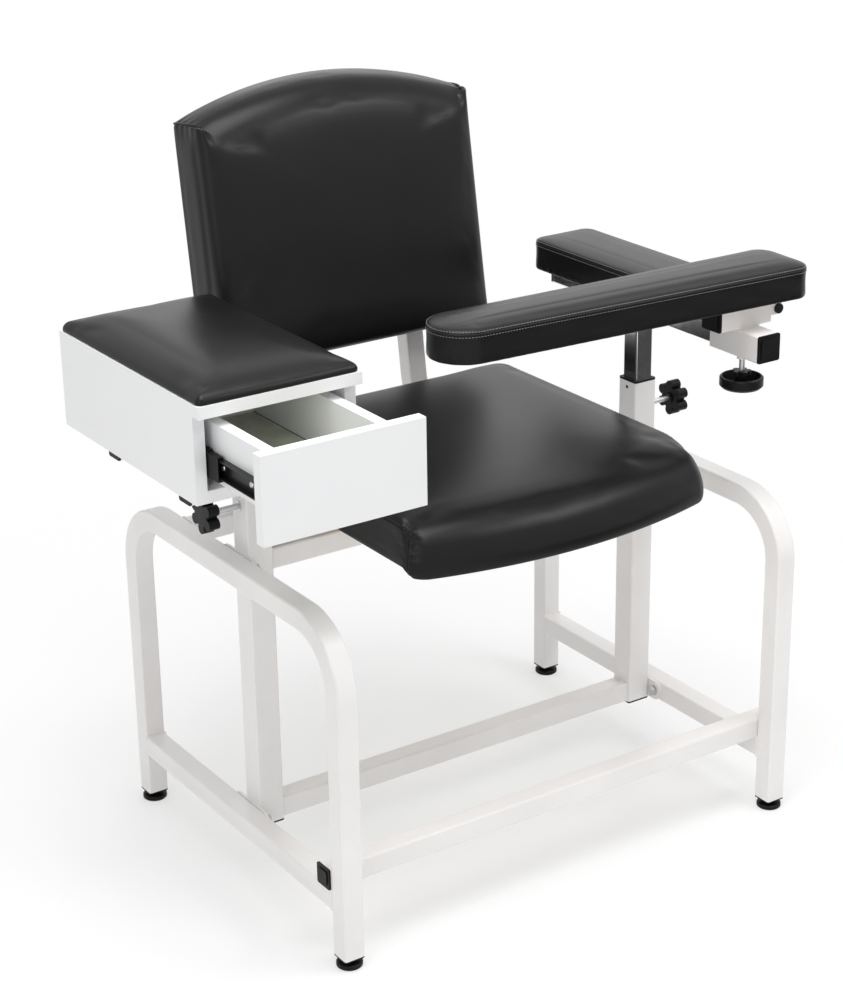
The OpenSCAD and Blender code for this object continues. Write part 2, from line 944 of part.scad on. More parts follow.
module clamp_screw(side) {
    inside = knob_stand + post_side / 2 - tube / 2 - soft_gap;
    color("silver")
        at_origin()
            knob_place(side)
                translate([0, 0, -inside])
                    cylinder(r = clamp_r, h = inside + knob_t / 2);
}

// Sleeve that slides on the rail, with its caps and the cross tube on top

sleeve_wall = (post_side - tube) / 2 - run_gap;

module arm_sleeve() {
    color("whitesmoke")
        at_origin()
            difference() {
                union() {
                    tube_y(sleeve_y, sleeve_y + sleeve_l, post_x, arm_rail_z, post_side, sleeve_wall);
                    translate([post_x, wheel_y, arm_rail_z - post_side / 2 - wheel_boss_h])
                        cylinder(r = wheel_boss_r, h = wheel_boss_h + sleeve_wall / 2);
                }
                translate([post_x, wheel_y, arm_rail_z - post_side / 2 - wheel_boss_h - cut])
                    cylinder(r = wheel_screw_r + run_gap, h = wheel_boss_h + sleeve_wall + 2 * cut);
            }
}

module sleeve_caps() {
    color("dimgray")
        at_origin() {
            translate([post_x, sleeve_y, arm_rail_z])
                rotate([90, 0, 0])
                    end_cap(post_side, post_side, sleeve_wall);
            translate([cross_x, cross_y, cross_z])
                rotate([0, -90, 0])
                    end_cap(post_side, post_side, tube_wall);
        }
}

// The outer end of the cross tube carries two ears for the hinge pin
module cross_tube() {
    color("whitesmoke")
        at_origin() {
            tube_x(cross_x, cross_end_x, cross_y, cross_z, post_side, post_side);
            for (s = [-1, 1])
                translate([0, cross_y + s * (post_side / 2 - ear_t / 2), 0])
                    difference() {
                        rotate([90, 0, 0])
                            translate([0, 0, -ear_t / 2])
                                linear_extrude(ear_t) {
                                    translate([cross_end_x, hinge_z - ear_r])
                                        square([hinge_x - cross_end_x, 2 * ear_r]);
                                    translate([hinge_x, hinge_z])
                                        circle(r = ear_r);
                                }
                        translate([hinge_x, 0, hinge_z])
                            rotate([90, 0, 0])
                                cylinder(r = hinge_r + run_gap, h = ear_t + 2 * cut, center = true);
                    }
        }
}

module hinge_pin() {
    color("dimgray")
        at_origin()
            translate([hinge_x, cross_y - post_side / 2, hinge_z])
                rotate([-90, 0, 0]) {
                    cylinder(r = hinge_r, h = post_side);
                    translate([0, 0, -hinge_head_t])
                        cylinder(r = hinge_head_r, h = hinge_head_t);
                    translate([0, 0, post_side])
                        cylinder(r = hinge_head_r, h = hinge_head_t);
                }
}

module arm_handwheel() {
    r = wheel_r;
    color("dimgray")
        at_origin()
            translate([post_x, wheel_y, wheel_z])
                difference() {
                    union() {
                        rotate_extrude()
                            polygon([[0, 0], [r - wheel_rim, 0], [r, wheel_rim],
                                [r, wheel_h - wheel_rim / 2], [r - wheel_rim / 2, wheel_h],
                                [r - wheel_rim, wheel_h],
                                [r - 2 * wheel_rim, wheel_floor], [wheel_hub_r, wheel_floor],
                                [wheel_hub_r, wheel_hub_top], [0, wheel_hub_top]]);
                        for (k = [0:wheel_lobes - 1])
                            rotate([0, 0, (k + 1 / 2) * 360 / wheel_lobes])
                                translate([wheel_lobe_pitch_r, 0, wheel_hub_h - wheel_lobe_h])
                                    cylinder(r = wheel_lobe_r, h = wheel_lobe_h);
                    }
                    translate([0, 0, wheel_screw_seat])
                        cylinder(r = wheel_screw_r, h = wheel_hub_h);
                }
}

module handwheel_screw() {
    low = wheel_z + wheel_screw_seat;
    color("silver")
        at_origin()
            translate([post_x, wheel_y, low])
                cylinder(r = wheel_screw_r, h = arm_rail_z - tube / 2 - soft_gap - low);
}

// Bracket under the front pad: a leaf over the cross tube and two hinge cheeks
module arm_bracket() {
    inside = post_side / 2 - ear_t - soft_gap;
    color("dimgray")
        at_origin() {
            translate([hinge_x + leaf_past - leaf_l, cross_y - inside, cross_top + soft_gap])
                cube([leaf_l, 2 * inside, leaf_t]);
            for (s = [-1, 1])
                translate([hinge_x, cross_y + s * (inside - leaf_side_t / 2), hinge_z])
                    rotate([90, 0, 0])
                        translate([0, 0, -leaf_side_t / 2])
                            difference() {
                                linear_extrude(leaf_side_t) {
                                    circle(r = leaf_foot_r);
                                    translate([-leaf_foot_r, 0])
                                        square([2 * leaf_foot_r, cross_top + soft_gap - hinge_z]);
                                }
                                translate([0, 0, -cut])
                                    cylinder(r = hinge_r + run_gap, h = leaf_side_t + 2 * cut);
                            }
        }
}

// The front pad lies along X: its own outline runs from the free end to the hinge
function arm_outline(i) = [for (p = pad_outline(arm_pad_w / 2, arm_pad_l,
        arm_pad_w / 2 - least_r, arm_end_r, arm_pad_w / 2 - least_r, i))
    [p[0] * (1 + arm_pad_flare / arm_pad_w * p[1] / arm_pad_l), p[1]]];

// A point of the front pad in the chair, turned about its hinged end
function arm_point(p) =
    let (along = p[1] - arm_pad_l, across = -p[0])
    [arm_pad_end_x + along * cos(arm_pad_turn) + across * sin(arm_pad_turn),
        arm_pad_mid_y - along * sin(arm_pad_turn) + across * cos(arm_pad_turn)];

module front_arm_board() {
    color("burlywood")
        at_origin()
            translate([0, 0, arm_board_z])
                linear_extrude(arm_board_t)
                    polygon([for (p = arm_outline(arm_skirt + soft_gap)) arm_point(p)]);
}

module front_arm_cushion() {
    recess = arm_board_t + arm_skirt_drop;
    color("dimgray")
        at_origin()
            lofted([for (r = pad_rings(arm_pad_h, arm_crown, recess, arm_skirt, arm_pad_w / 2))
                [for (p = arm_outline(r[0]))
                    let (q = arm_point(p)) [q[0], q[1], arm_board_z - arm_skirt_drop + r[1]]]]);
}

// Cabinet

module cabinet_mast() {
    color("silver")
        at_origin()
            tube_z(bush_top - bush_depth - mast_below, cradle_z, -post_x, post_y, tube);
}

cradle_half = cabinet_w / 2 - cradle_inset;

module cabinet_cradle() {
    color("whitesmoke")
        at_origin() {
            for (y = [cradle_front_y, cradle_back_y])
                tube_x(cabinet_x - cradle_half, cabinet_x + cradle_half, y, cradle_z + cradle_h / 2,
                    cradle_w, cradle_h);
            translate([-post_x, cradle_front_y + cradle_w / 2, cradle_z + cradle_h / 2])
                rotate([-90, 0, 0])
                    linear_extrude(cradle_back_y - cradle_front_y - cradle_w)
                        tube_profile(cradle_w, cradle_h, tube_wall);
        }
}

module cradle_caps() {
    color("dimgray")
        at_origin()
            for (side = [-1, 1], y = [cradle_front_y, cradle_back_y])
                translate([cabinet_x + side * cradle_half, y, cradle_z + cradle_h / 2])
                    rotate([90, 0, side * 90])
                        end_cap(cradle_w, cradle_h, tube_wall);
}

// A board between two corners
module panel(low, high) {
    translate(low)
        cube(high - low);
}

cabinet_left = cabinet_x - cabinet_w / 2;
cabinet_right = cabinet_x + cabinet_w / 2;
cabinet_back_y = cabinet_y + cabinet_d;

module cabinet_sides() {
    color("white")
        at_origin() {
            panel([cabinet_left, cabinet_y, cabinet_z],
                [cabinet_left + panel_t, cabinet_back_y, cabinet_top_z]);
            panel([cabinet_right - panel_t, cabinet_y, cabinet_z],
                [cabinet_right, cabinet_back_y, cabinet_top_z]);
        }
}

module cabinet_bottom() {
    color("white")
        at_origin()
            panel([cabinet_left + panel_t, cabinet_y, cabinet_z],
                [cabinet_right - panel_t, cabinet_back_y, cabinet_z + panel_t]);
}

module cabinet_back() {
    color("white")
        at_origin()
            panel([cabinet_left + panel_t, cabinet_back_y - panel_t, cabinet_z + panel_t],
                [cabinet_right - panel_t, cabinet_back_y, cabinet_top_z]);
}

module cabinet_top() {
    color("white")
        at_origin()
            panel([cabinet_left, cabinet_y - lid_over, cabinet_top_z],
                [cabinet_right, cabinet_back_y, cabinet_top_z + panel_t]);
}

// The rings of the flat-bottomed pad on the cabinet, as [inset, height]
function lid_pad_rings(h, crown, hw) = [
    [hw * 0.6, 0], [pad_inset, 0], [0, h * 0.35], [pad_inset * 0.25, h * 0.75],
    [pad_inset * 1.5, h], [hw * 0.1, h + crown * 0.4], [hw * 0.22, h + crown * 0.75],
    [hw * 0.4, h + crown * 0.94], [hw * 0.65, h + crown]];

module cabinet_cushion() {
    hw = cabinet_w / 2 - pad_inset;
    d = cabinet_d + lid_over - 2 * pad_inset;
    y = cabinet_y - lid_over + pad_inset;
    z = cabinet_top_z + panel_t;
    color("dimgray")
        at_origin()
            lofted([for (r = lid_pad_rings(cabinet_pad_h, cabinet_crown, hw))
                [for (p = pad_outline(hw, d, cabinet_pad_r, cabinet_pad_r, pad_inset, r[0]))
                    [cabinet_x + p[0], y + p[1], z + r[1]]]]);
}

// Drawer

drawer_left = cabinet_x - drawer_w / 2;
drawer_right = cabinet_x + drawer_w / 2;
drawer_box_y = drawer_y + panel_t;
drawer_back_y = drawer_box_y + drawer_l;

module drawer_front() {
    color("white")
        at_origin()
            panel([cabinet_left + front_gap, drawer_y, cabinet_z],
                [cabinet_right - front_gap, drawer_box_y, cabinet_top_z - front_drop]);
}

module drawer_sides() {
    color("white")
        at_origin() {
            panel([drawer_left, drawer_box_y, drawer_z],
                [drawer_left + panel_t, drawer_back_y, drawer_z + drawer_h]);
            panel([drawer_right - panel_t, drawer_box_y, drawer_z],
                [drawer_right, drawer_back_y, drawer_z + drawer_h]);
        }
}

module drawer_back() {
    color("white")
        at_origin()
            panel([drawer_left + panel_t, drawer_back_y - panel_t, drawer_z + drawer_floor_t],
                [drawer_right - panel_t, drawer_back_y, drawer_z + drawer_h]);
}

module drawer_floor() {
    color("darkseagreen")
        at_origin()
            panel([drawer_left + panel_t, drawer_box_y, drawer_z],
                [drawer_right - panel_t, drawer_back_y, drawer_z + drawer_floor_t]);
}

// Ball slides. Each is drawn for the left side, from the cabinet's face at x = 0
// towards the drawer, and mirrored for the right.
module both_slides(y) {
    for (side = [-1, 1])
        translate([cabinet_x + side * (cabinet_w / 2 - panel_t), y, slide_z])
            mirror([side > 0 ? 1 : 0, 0, 0])
                children();
}

module channel(x, reach, h, dir) {
    translate([dir > 0 ? x : x - slide_t, 0, -h / 2])
        cube([slide_t, slide_l, h]);
    for (z = [-h / 2, h / 2 - slide_t])
        translate([dir > 0 ? x : x - reach, 0, z])
            cube([reach, slide_l, slide_t]);
}

module slide_outers() {
    color("darkslategray")
        at_origin()
            both_slides(cabinet_y + slide_set)
                channel(0, slide_outer_reach, slide_outer_h, 1);
}

module slide_inners() {
    color("darkslategray")
        at_origin()
            both_slides(drawer_box_y + slide_set)
                channel(slide_w, slide_inner_reach, slide_inner_h, -1);
}

// Places of the balls along a cage
function ball_y(k) = ball_edge + (cage_l - ball_edge - 3 * ball_r) * k / (ball_count - 1);

module slide_cages() {
    web_x = slide_t + cage_off;
    web_h = slide_outer_h - 2 * slide_t - 2 * cage_off;
    color("dimgray")
        at_origin()
            both_slides(cage_y)
                difference() {
                    union() {
                        translate([web_x, 0, -web_h / 2])
                            cube([cage_t, cage_l, web_h]);
                        for (s = [-1, 1]) {
                            translate([web_x, 0, s * ball_mid_h - cage_t / 2])
                                cube([cage_tab, cage_l, cage_t]);
                            translate([web_x, 0, s > 0 ? slide_inner_h / 2 + cage_off : -web_h / 2])
                                cube([cage_tab, cage_nose_l, web_h / 2 - slide_inner_h / 2 - cage_off]);
                        }
                    }
                    for (k = [0:ball_count - 1])
                        translate([ball_x, ball_y(k), 0])
                            cylinder(r = ball_r + fit_gap, h = web_h + cut, center = true);
                }
}

module slide_balls() {
    color("silver")
        at_origin()
            both_slides(cage_y)
                for (k = [0:ball_count - 1], s = [-1, 1])
                    translate([ball_x, ball_y(k), s * ball_mid_h])
                        sphere(r = ball_r);
}

// The middle of the chair's base, from its outermost pieces
arm_tip_x = max([for (p = arm_outline(0)) arm_point(p)[0]]);
upright_back_y = upright_top_y + tube / 2 * cos(back_lean) + (cap_t + cap_raise) * sin(back_lean);
origin_x = (cabinet_left + arm_tip_x) / 2;
origin_y = (tube / 2 - foot_d / 2 + upright_back_y) / 2;

side_frame(-1);  // left_side_frame
side_frame(1);  // right_side_frame
lower_rails();
leg_inserts();
foot(-1, tube / 2);  // foot_front_left
foot(1, tube / 2);  // foot_front_right
foot(-1, frame_d - tube / 2);  // foot_rear_left
foot(1, frame_d - tube / 2);  // foot_rear_right
front_crossbar();
post(-1);  // left_post
post(1);  // right_post
post_crossbars();
post_bushes();
rear_seat_bar();
lug_plates();
lug_fasteners();
frame_caps();
clamp_nuts();
back_upright(-1);  // left_back_upright
back_upright(1);  // right_back_upright
seat_board();
seat_cushion();
back_board();
back_cushion();
pad_bolts();
arm_mast();
arm_rail();
arm_rail_cap();
rear_arm_board();
rear_arm_cushion();
rear_arm_screws();
clamp_knob(1);  // right_clamp_knob
clamp_screw(1);  // right_clamp_screw
arm_sleeve();
sleeve_caps();
cross_tube();
hinge_pin();
arm_handwheel();
handwheel_screw();
arm_bracket();
front_arm_board();
front_arm_cushion();
cabinet_mast();
cabinet_cradle();
cradle_caps();
cabinet_sides();
cabinet_bottom();
cabinet_back();
cabinet_top();
cabinet_cushion();
clamp_knob(-1);  // left_clamp_knob
clamp_screw(-1);  // left_clamp_screw
drawer_front();
drawer_sides();
drawer_back();
drawer_floor();
slide_outers();
slide_inners();
slide_cages();
slide_balls();
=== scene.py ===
import json
import math
from collections import namedtuple

import bpy
import numpy as np
from mathutils import Matrix, Vector
from mathutils.bvhtree import BVHTree
from mathutils.kdtree import KDTree


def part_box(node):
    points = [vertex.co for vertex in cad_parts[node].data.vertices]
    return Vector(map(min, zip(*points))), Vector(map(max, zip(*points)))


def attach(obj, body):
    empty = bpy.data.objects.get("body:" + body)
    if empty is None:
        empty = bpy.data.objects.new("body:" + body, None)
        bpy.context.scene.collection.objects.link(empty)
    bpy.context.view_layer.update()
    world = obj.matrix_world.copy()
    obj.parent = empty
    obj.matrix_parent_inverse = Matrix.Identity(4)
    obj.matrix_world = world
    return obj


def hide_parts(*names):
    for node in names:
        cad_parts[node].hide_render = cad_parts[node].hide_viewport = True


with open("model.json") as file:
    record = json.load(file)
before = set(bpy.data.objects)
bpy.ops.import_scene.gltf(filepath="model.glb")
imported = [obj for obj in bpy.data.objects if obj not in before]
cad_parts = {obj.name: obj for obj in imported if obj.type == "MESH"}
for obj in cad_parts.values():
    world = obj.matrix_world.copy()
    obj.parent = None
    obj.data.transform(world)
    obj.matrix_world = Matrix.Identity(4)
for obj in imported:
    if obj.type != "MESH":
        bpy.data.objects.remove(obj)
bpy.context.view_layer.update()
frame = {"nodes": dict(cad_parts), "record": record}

# The source works in mm from the middle of the frame, the front of the legs and the
# floor. SHIFT takes such a place, in metres, to the scene's frame.
FRAME_HALF_WIDTH = 0.375
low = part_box("left_side_frame")[0]
SHIFT = Vector((low[0] + FRAME_HALF_WIDTH, low[1], 0))
SHIFT_NP = np.array(SHIFT)


def place(x, y, z):
    return Vector((x / 1000, y / 1000, z / 1000)) + SHIFT


# Camera at the photo's viewing point, with the place and directions of the fit

CAMERA_LENS = 81.81
CAMERA_SENSOR = 36
CAMERA_SPOT = (-1656.0, -2137.1, 1651.3)
CAMERA_FORWARD = (0.51105, 0.77499, -0.37177)
CAMERA_RIGHT = (0.83138, -0.55550, -0.01516)

scene = bpy.context.scene
cam_data = bpy.data.cameras.new("camera")
cam_data.lens = CAMERA_LENS
cam_data.sensor_width = CAMERA_SENSOR
cam_data.clip_end = 60
camera = bpy.data.objects.new("camera", cam_data)
scene.collection.objects.link(camera)
forward = Vector(CAMERA_FORWARD).normalized()
up = Vector(CAMERA_RIGHT).normalized().cross(forward).normalized()
right = forward.cross(up).normalized()
turn = Matrix((right, up, -forward)).transposed()
camera.matrix_world = Matrix.Translation(place(*CAMERA_SPOT)) @ turn.to_4x4()
scene.camera = camera


# Materials

def new_material(name, color, rough, metal=0.0, **sockets):
    m = bpy.data.materials.new(name)
    m.use_nodes = True
    shader = m.node_tree.nodes["Principled BSDF"]
    shader.inputs["Base Color"].default_value = (*color, 1)
    shader.inputs["Roughness"].default_value = rough
    shader.inputs["Metallic"].default_value = metal
    for key, value in sockets.items():
        shader.inputs[key.replace("_", " ")].default_value = value
    return m


def texture(m, kind, scale, **values):
    """A texture node on object coordinates, in metres."""
    tree = m.node_tree
    coords = tree.nodes.get("coords")
    if coords is None:
        coords = tree.nodes.new("ShaderNodeTexCoord")
        coords.name = "coords"
    node = tree.nodes.new(kind)
    node.inputs["Scale"].default_value = scale
    for key, value in values.items():
        if key in node.inputs:
            node.inputs[key].default_value = value
        else:
            setattr(node, key, value)
    tree.links.new(coords.outputs["Object"], node.inputs["Vector"])
    return node


def ranged(m, source, low_in, high_in, low_out, high_out):
    node = m.node_tree.nodes.new("ShaderNodeMapRange")
    m.node_tree.links.new(source, node.inputs["Value"])
    for key, value in (("From Min", low_in), ("From Max", high_in),
                       ("To Min", low_out), ("To Max", high_out)):
        node.inputs[key].default_value = value
    return node.outputs["Result"]


def vary_color(m, source, low_color, high_color, low_in=0.3, high_in=0.7):
    tree = m.node_tree
    ramp = tree.nodes.new("ShaderNodeValToRGB")
    ramp.color_ramp.elements[0].position = low_in
    ramp.color_ramp.elements[1].position = high_in
    ramp.color_ramp.elements[0].color = (*low_color, 1)
    ramp.color_ramp.elements[1].color = (*high_color, 1)
    tree.links.new(source, ramp.inputs["Fac"])
    tree.links.new(ramp.outputs["Color"], tree.nodes["Principled BSDF"].inputs["Base Color"])


def vary_rough(m, source, low_out, high_out, low_in=0.3, high_in=0.7):
    tree = m.node_tree
    tree.links.new(ranged(m, source, low_in, high_in, low_out, high_out),
                   tree.nodes["Principled BSDF"].inputs["Roughness"])


def bump(m, source, depth, strength=1.0):
    """Adds a bump of the given depth in metres on top of any bump before it."""
    tree = m.node_tree
    node = tree.nodes.new("ShaderNodeBump")
    node.inputs["Distance"].default_value = depth
    node.inputs["Strength"].default_value = strength
    tree.links.new(source, node.inputs["Height"])
    normal = tree.nodes["Principled BSDF"].inputs["Normal"]
    if normal.is_linked:
        tree.links.new(normal.links[0].from_socket, node.inputs["Normal"])
    tree.links.new(node.outputs["Normal"], normal)


def powder_coat():
    m = new_material("powder_coat", (0.84, 0.825, 0.815), 0.34)
    soft = texture(m, "ShaderNodeTexNoise", 9, Detail=3.0)
    vary_color(m, soft.outputs["Fac"], (0.815, 0.797, 0.787), (0.86, 0.85, 0.842))
    peel = texture(m, "ShaderNodeTexNoise", 620, Detail=2.0)
    bump(m, peel.outputs["Fac"], 0.00006, 0.35)
    vary_rough(m, soft.outputs["Fac"], 0.3, 0.4)
    return m


def vinyl():
    m = new_material("vinyl", (0.006, 0.006, 0.0066), 0.34, Specular_IOR_Level=0.2)
    wide = texture(m, "ShaderNodeTexNoise", 6, Detail=3.0)
    vary_color(m, wide.outputs["Fac"], (0.005, 0.005, 0.0055), (0.007, 0.007, 0.0077))
    cells = texture(m, "ShaderNodeTexVoronoi", 820, feature="SMOOTH_F1", Smoothness=0.6)
    fine = texture(m, "ShaderNodeTexNoise", 2300, Detail=2.0)
    bump(m, cells.outputs["Distance"], 0.0001, 0.4)
    bump(m, fine.outputs["Fac"], 0.00004, 0.35)
    vary_rough(m, wide.outputs["Fac"], 0.32, 0.37)
    return m


def moulded(name, color, rough, grain=1500, depth=0.00005, level=0.5):
    m = new_material(name, color, rough, Specular_IOR_Level=level)
    wide = texture(m, "ShaderNodeTexNoise", 30, Detail=2.0)
    dark, pale = (tuple(c * k for c in color) for k in (0.85, 1.15))
    vary_color(m, wide.outputs["Fac"], dark, pale)
    fine = texture(m, "ShaderNodeTexNoise", grain, Detail=2.0)
    bump(m, fine.outputs["Fac"], depth, 0.5)
    vary_rough(m, wide.outputs["Fac"], rough - 0.05, rough + 0.06)
    return m


def metal(name, color, rough, spread, scale=40):
    m = new_material(name, color, rough, 1.0)
    wide = texture(m, "ShaderNodeTexNoise", scale, Detail=4.0)
    vary_rough(m, wide.outputs["Fac"], rough, rough + spread)
    vary_color(m, wide.outputs["Fac"], tuple(c * 0.94 for c in color), color)
    fine = texture(m, "ShaderNodeTexNoise", 900, Detail=2.0)
    bump(m, fine.outputs["Fac"], 0.00002, 0.2)
    return m


def laminate():
    m = new_material("laminate", (0.86, 0.865, 0.872), 0.36)
    wide = texture(m, "ShaderNodeTexNoise", 5, Detail=2.0)
    vary_color(m, wide.outputs["Fac"], (0.848, 0.853, 0.862), (0.872, 0.876, 0.882))
    fine = texture(m, "ShaderNodeTexNoise", 1300, Detail=3.0)
    bump(m, fine.outputs["Fac"], 0.00004, 0.3)
    vary_rough(m, fine.outputs["Fac"], 0.33, 0.41)
    return m


def plywood(name, dark, pale):
    m = new_material(name, pale, 0.6)
    wave = texture(m, "ShaderNodeTexWave", 16, Distortion=6.0, Detail=3.0, bands_direction="X")
    vary_color(m, wave.outputs["Fac"], dark, pale, 0.1, 0.9)
    fine = texture(m, "ShaderNodeTexNoise", 500, Detail=4.0)
    bump(m, fine.outputs["Fac"], 0.0001, 0.4)
    vary_rough(m, fine.outputs["Fac"], 0.52, 0.7)
    return m


COAT = powder_coat()
VINYL = vinyl()
THREAD = moulded("thread", (0.2, 0.2, 0.205), 0.6, 3000)
# The dark thread of the seat's stitches, also used for the painted shade strip in the drawer's floor
# gap
DARK_THREAD_AND_GAP_SHADE = moulded("dark_thread_and_gap_shade", (0.03, 0.03, 0.032), 0.6, 3000)
PLASTIC = moulded("black_plastic", (0.005, 0.005, 0.0055), 0.42, level=0.16)
BLACK_STEEL = moulded("black_steel", (0.008, 0.008, 0.0085), 0.32, 700, 0.00004, 0.25)
CHROME = metal("chrome", (0.78, 0.785, 0.8), 0.05, 0.08)
ZINC = metal("zinc", (0.62, 0.62, 0.63), 0.26, 0.16, 120)
LAMINATE = laminate()
PLY = plywood("plywood", (0.38, 0.27, 0.16), (0.56, 0.43, 0.28))
BACK_PANEL = moulded("back_panel", (0.018, 0.018, 0.019), 0.7, 700, 0.0002)
LINING = moulded("drawer_lining", (0.62, 0.64, 0.53), 0.36, 900)

# The materials of the record's slots
FINISHES = {
    "frame_paint": COAT, "black_plastic": PLASTIC, "zinc_steel": ZINC, "black_steel": BLACK_STEEL,
    "chrome": CHROME, "plywood": PLY, "back_panel": BACK_PANEL, "vinyl": VINYL,
    "laminate": LAMINATE, "drawer_lining": LINING}
# Widths of the rounded edges that the plain solids get, in metres
EDGES = {
    "laminate": 0.0008, "black_plastic": 0.0007, "drawer_lining": 0.0003, "zinc_steel": 0.0003,
    "black_steel": 0.0004}

SHARP = math.radians(40)

for part in frame["record"]["subparts"]:
    node = frame["nodes"][part["node"]]
    finish = part["material_slot"]
    for held in node.material_slots:
        held.material = FINISHES[finish]
    if finish in EDGES and part["node"] != "slide_balls":
        edge = node.modifiers.new("edge", "BEVEL")
        edge.width = EDGES[finish]
        edge.segments = 2
        edge.limit_method = "ANGLE"
        edge.angle_limit = SHARP
        edge.harden_normals = False


# Mesh helpers

def new_object(name, points, faces, mat, smooth=True):
    mesh = bpy.data.meshes.new(name)
    mesh.from_pydata([tuple(p) for p in points], [], [tuple(f) for f in faces])
    mesh.materials.append(mat)
    if smooth:
        mesh.polygons.foreach_set("use_smooth", [True] * len(mesh.polygons))
    mesh.update()
    obj = bpy.data.objects.new(name, mesh)
    scene.collection.objects.link(obj)
    return obj


def tube_along(points, radius, sides=8, closed=False):
    """Points and faces of a round tube along a path."""
    pts = [Vector(p) for p in points]
    n = len(pts)
    verts, faces = [], []
    side = None
    for k, p in enumerate(pts):
        a = pts[(k - 1) % n] if closed or k > 0 else p
        b = pts[(k + 1) % n] if closed or k < n - 1 else p
        t = (b - a).normalized()
        if side is None:
            across = Vector((0, 0, 1)) if abs(t.z) < 0.9 else Vector((1, 0, 0))
            side = t.cross(across).normalized()
        side = (side - t * side.dot(t)).normalized()
        over = t.cross(side)
        r = radius(k / max(1, n - 1)) if callable(radius) else radius
        for j in range(sides):
            w = 2 * math.pi * j / sides
            verts.append(p + side * (r * math.cos(w)) + over * (r * math.sin(w)))
    for k in range(n if closed else n - 1):
        a, b = k * sides, ((k + 1) % n) * sides
        for j in range(sides):
            q = (j + 1) % sides
            faces.append((a + j, a + q, b + q, b + j))
    if not closed:
        faces.append(tuple(range(sides - 1, -1, -1)))
        faces.append(tuple((n - 1) * sides + j for j in range(sides)))
    return verts, faces


def joined(parts):
    """One set of points and faces from several."""
    verts, faces = [], []
    for v, f in parts:
        base = len(verts)
        verts.extend(v)
        faces.extend(tuple(i + base for i in face) for face in f)
    return verts, faces


def even_path(points, step, closed=False):
    """The same path with points a step apart."""
    p = np.array([tuple(q) for q in points])
    if closed:
        p = np.vstack([p, p[:1]])
    gaps = np.linalg.norm(np.diff(p, axis=0), axis=1)
    along = np.concatenate([[0], np.cumsum(gaps)])
    count = max(2, int(round(along[-1] / step)))
    at = np.linspace(0, along[-1], count + 1)
    if closed:
        at = at[:-1]
    return [Vector([np.interp(t, along, p[:, k]) for k in range(3)]) for t in at]


# Soft pieces: an outline with a bowed front, a profile of (inset, height) pairs from the
# pocket round the skirt to the top, and a crown. Lengths are in mm.

Plan = namedtuple("Plan", "half_width depth front_r back_r bow")

# Points along the bow, a front corner, a side, a back corner and the end
AROUND = N_BOW, N_FRONT, N_SIDE, N_BACK, N_END = 72, 16, 90, 12, 48
# Where the right side, the end and the left back corner begin, and the points in all
AT_SIDE = N_BOW + N_FRONT
AT_END = AT_SIDE + N_SIDE + N_BACK
AT_LEFT = AT_END + N_END
N_RING = AT_LEFT + N_BACK + N_SIDE + N_FRONT

# Rings of the mesh for each row of a profile
RINGS = 4


def ring_of(row):
    """The ring at a profile's row. The pocket's inner ring comes before them."""
    return 1 + RINGS * row


def arc(x, y, r, a, b, n):
    t = np.radians(a + (b - a) * np.arange(n) / n)
    return np.stack([x + r * np.cos(t), y + r * np.sin(t)], 1)


def line(p, q, n):
    t = np.arange(n)[:, None] / n
    return np.array(p) + (np.array(q) - np.array(p)) * t


def outline(hw, d, rf, rb, bow, i, n=AROUND):
    """The outline in plan at an inset of i, from the front's left corner and round."""
    big = (hw * hw + bow * bow) / (2 * bow)
    cf, cb = max(rf - i, 1.0), max(rb - i, 1.0)
    w, e = hw - i, d - i
    cy = big - math.sqrt((big - i - cf) ** 2 - (w - cf) ** 2)
    phi = math.degrees(math.atan2(cy - big, w - cf))
    return np.vstack([
        arc(0, big, big - i, -180 - phi, phi, n[0]),
        arc(w - cf, cy, cf, phi, 0, n[1]),
        line([w, cy], [w, e - cb], n[2]),
        arc(w - cb, e - cb, cb, 0, 90, n[3]),
        line([w - cb, e], [cb - w, e], n[4]),
        arc(cb - w, e - cb, cb, 90, 180, n[3]),
        line([-w, e - cb], [-w, cy], n[2]),
        arc(cf - w, cy, cf, 180, 180 - phi, n[1])])


# The last part of a front corner has none of the front's profile, and where hold isn't 0
# the right corner's fall runs on over this many points of the side
CORNER_END = 0.97
RUN_ON = 16


def front_share(hold):
    """1 along the bowed front, falling to 0 over the rest of a front corner after hold."""
    t = np.clip(((np.arange(N_FRONT) + 0.5) / N_FRONT - hold) / (CORNER_END - hold), 0, 1)
    share = np.zeros(N_RING)
    share[:N_BOW] = 1
    share[-N_FRONT:] = ((1 + np.cos(np.pi * t)) / 2)[::-1]
    reach = N_FRONT if hold == 0 else N_FRONT + RUN_ON
    u = np.clip((np.arange(reach) + 0.5 - hold * N_FRONT) / (reach - hold * N_FRONT), 0, 1)
    share[N_BOW:N_BOW + reach] = (1 + np.cos(np.pi * u)) / 2
    return share


def pad_shape(plan, least):
    """Outlines at an inset. Beyond the inset of least they shrink towards the middle, so
    that the corners keep their curve."""
    hw, d = plan.half_width, plan.depth

    def shape(i):
        p = outline(*plan, min(i, least))
        if i > least:
            mid = np.array([0, d / 2])
            p = mid + (p - mid) * [(hw - i) / (hw - least), (d / 2 - i) / (d / 2 - least)]
        return p
    return shape


def smooth_profile(table, per=RINGS):
    """Catmull-Rom through the rows of a profile."""
    p = np.array(table, float)
    p = np.vstack([2 * p[0] - p[1], p, 2 * p[-1] - p[-2]])
    rows = []
    for k in range(1, len(p) - 2):
        for s in range(per):
            t = s / per
            a, b, c, d = p[k - 1], p[k], p[k + 1], p[k + 2]
            rows.append(0.5 * (2 * b + (c - a) * t + (2 * a - 5 * b + 4 * c - d) * t * t
                               + (3 * b - a - 3 * c + d) * t ** 3))
    rows.append(p[-2])
    return np.array(rows)


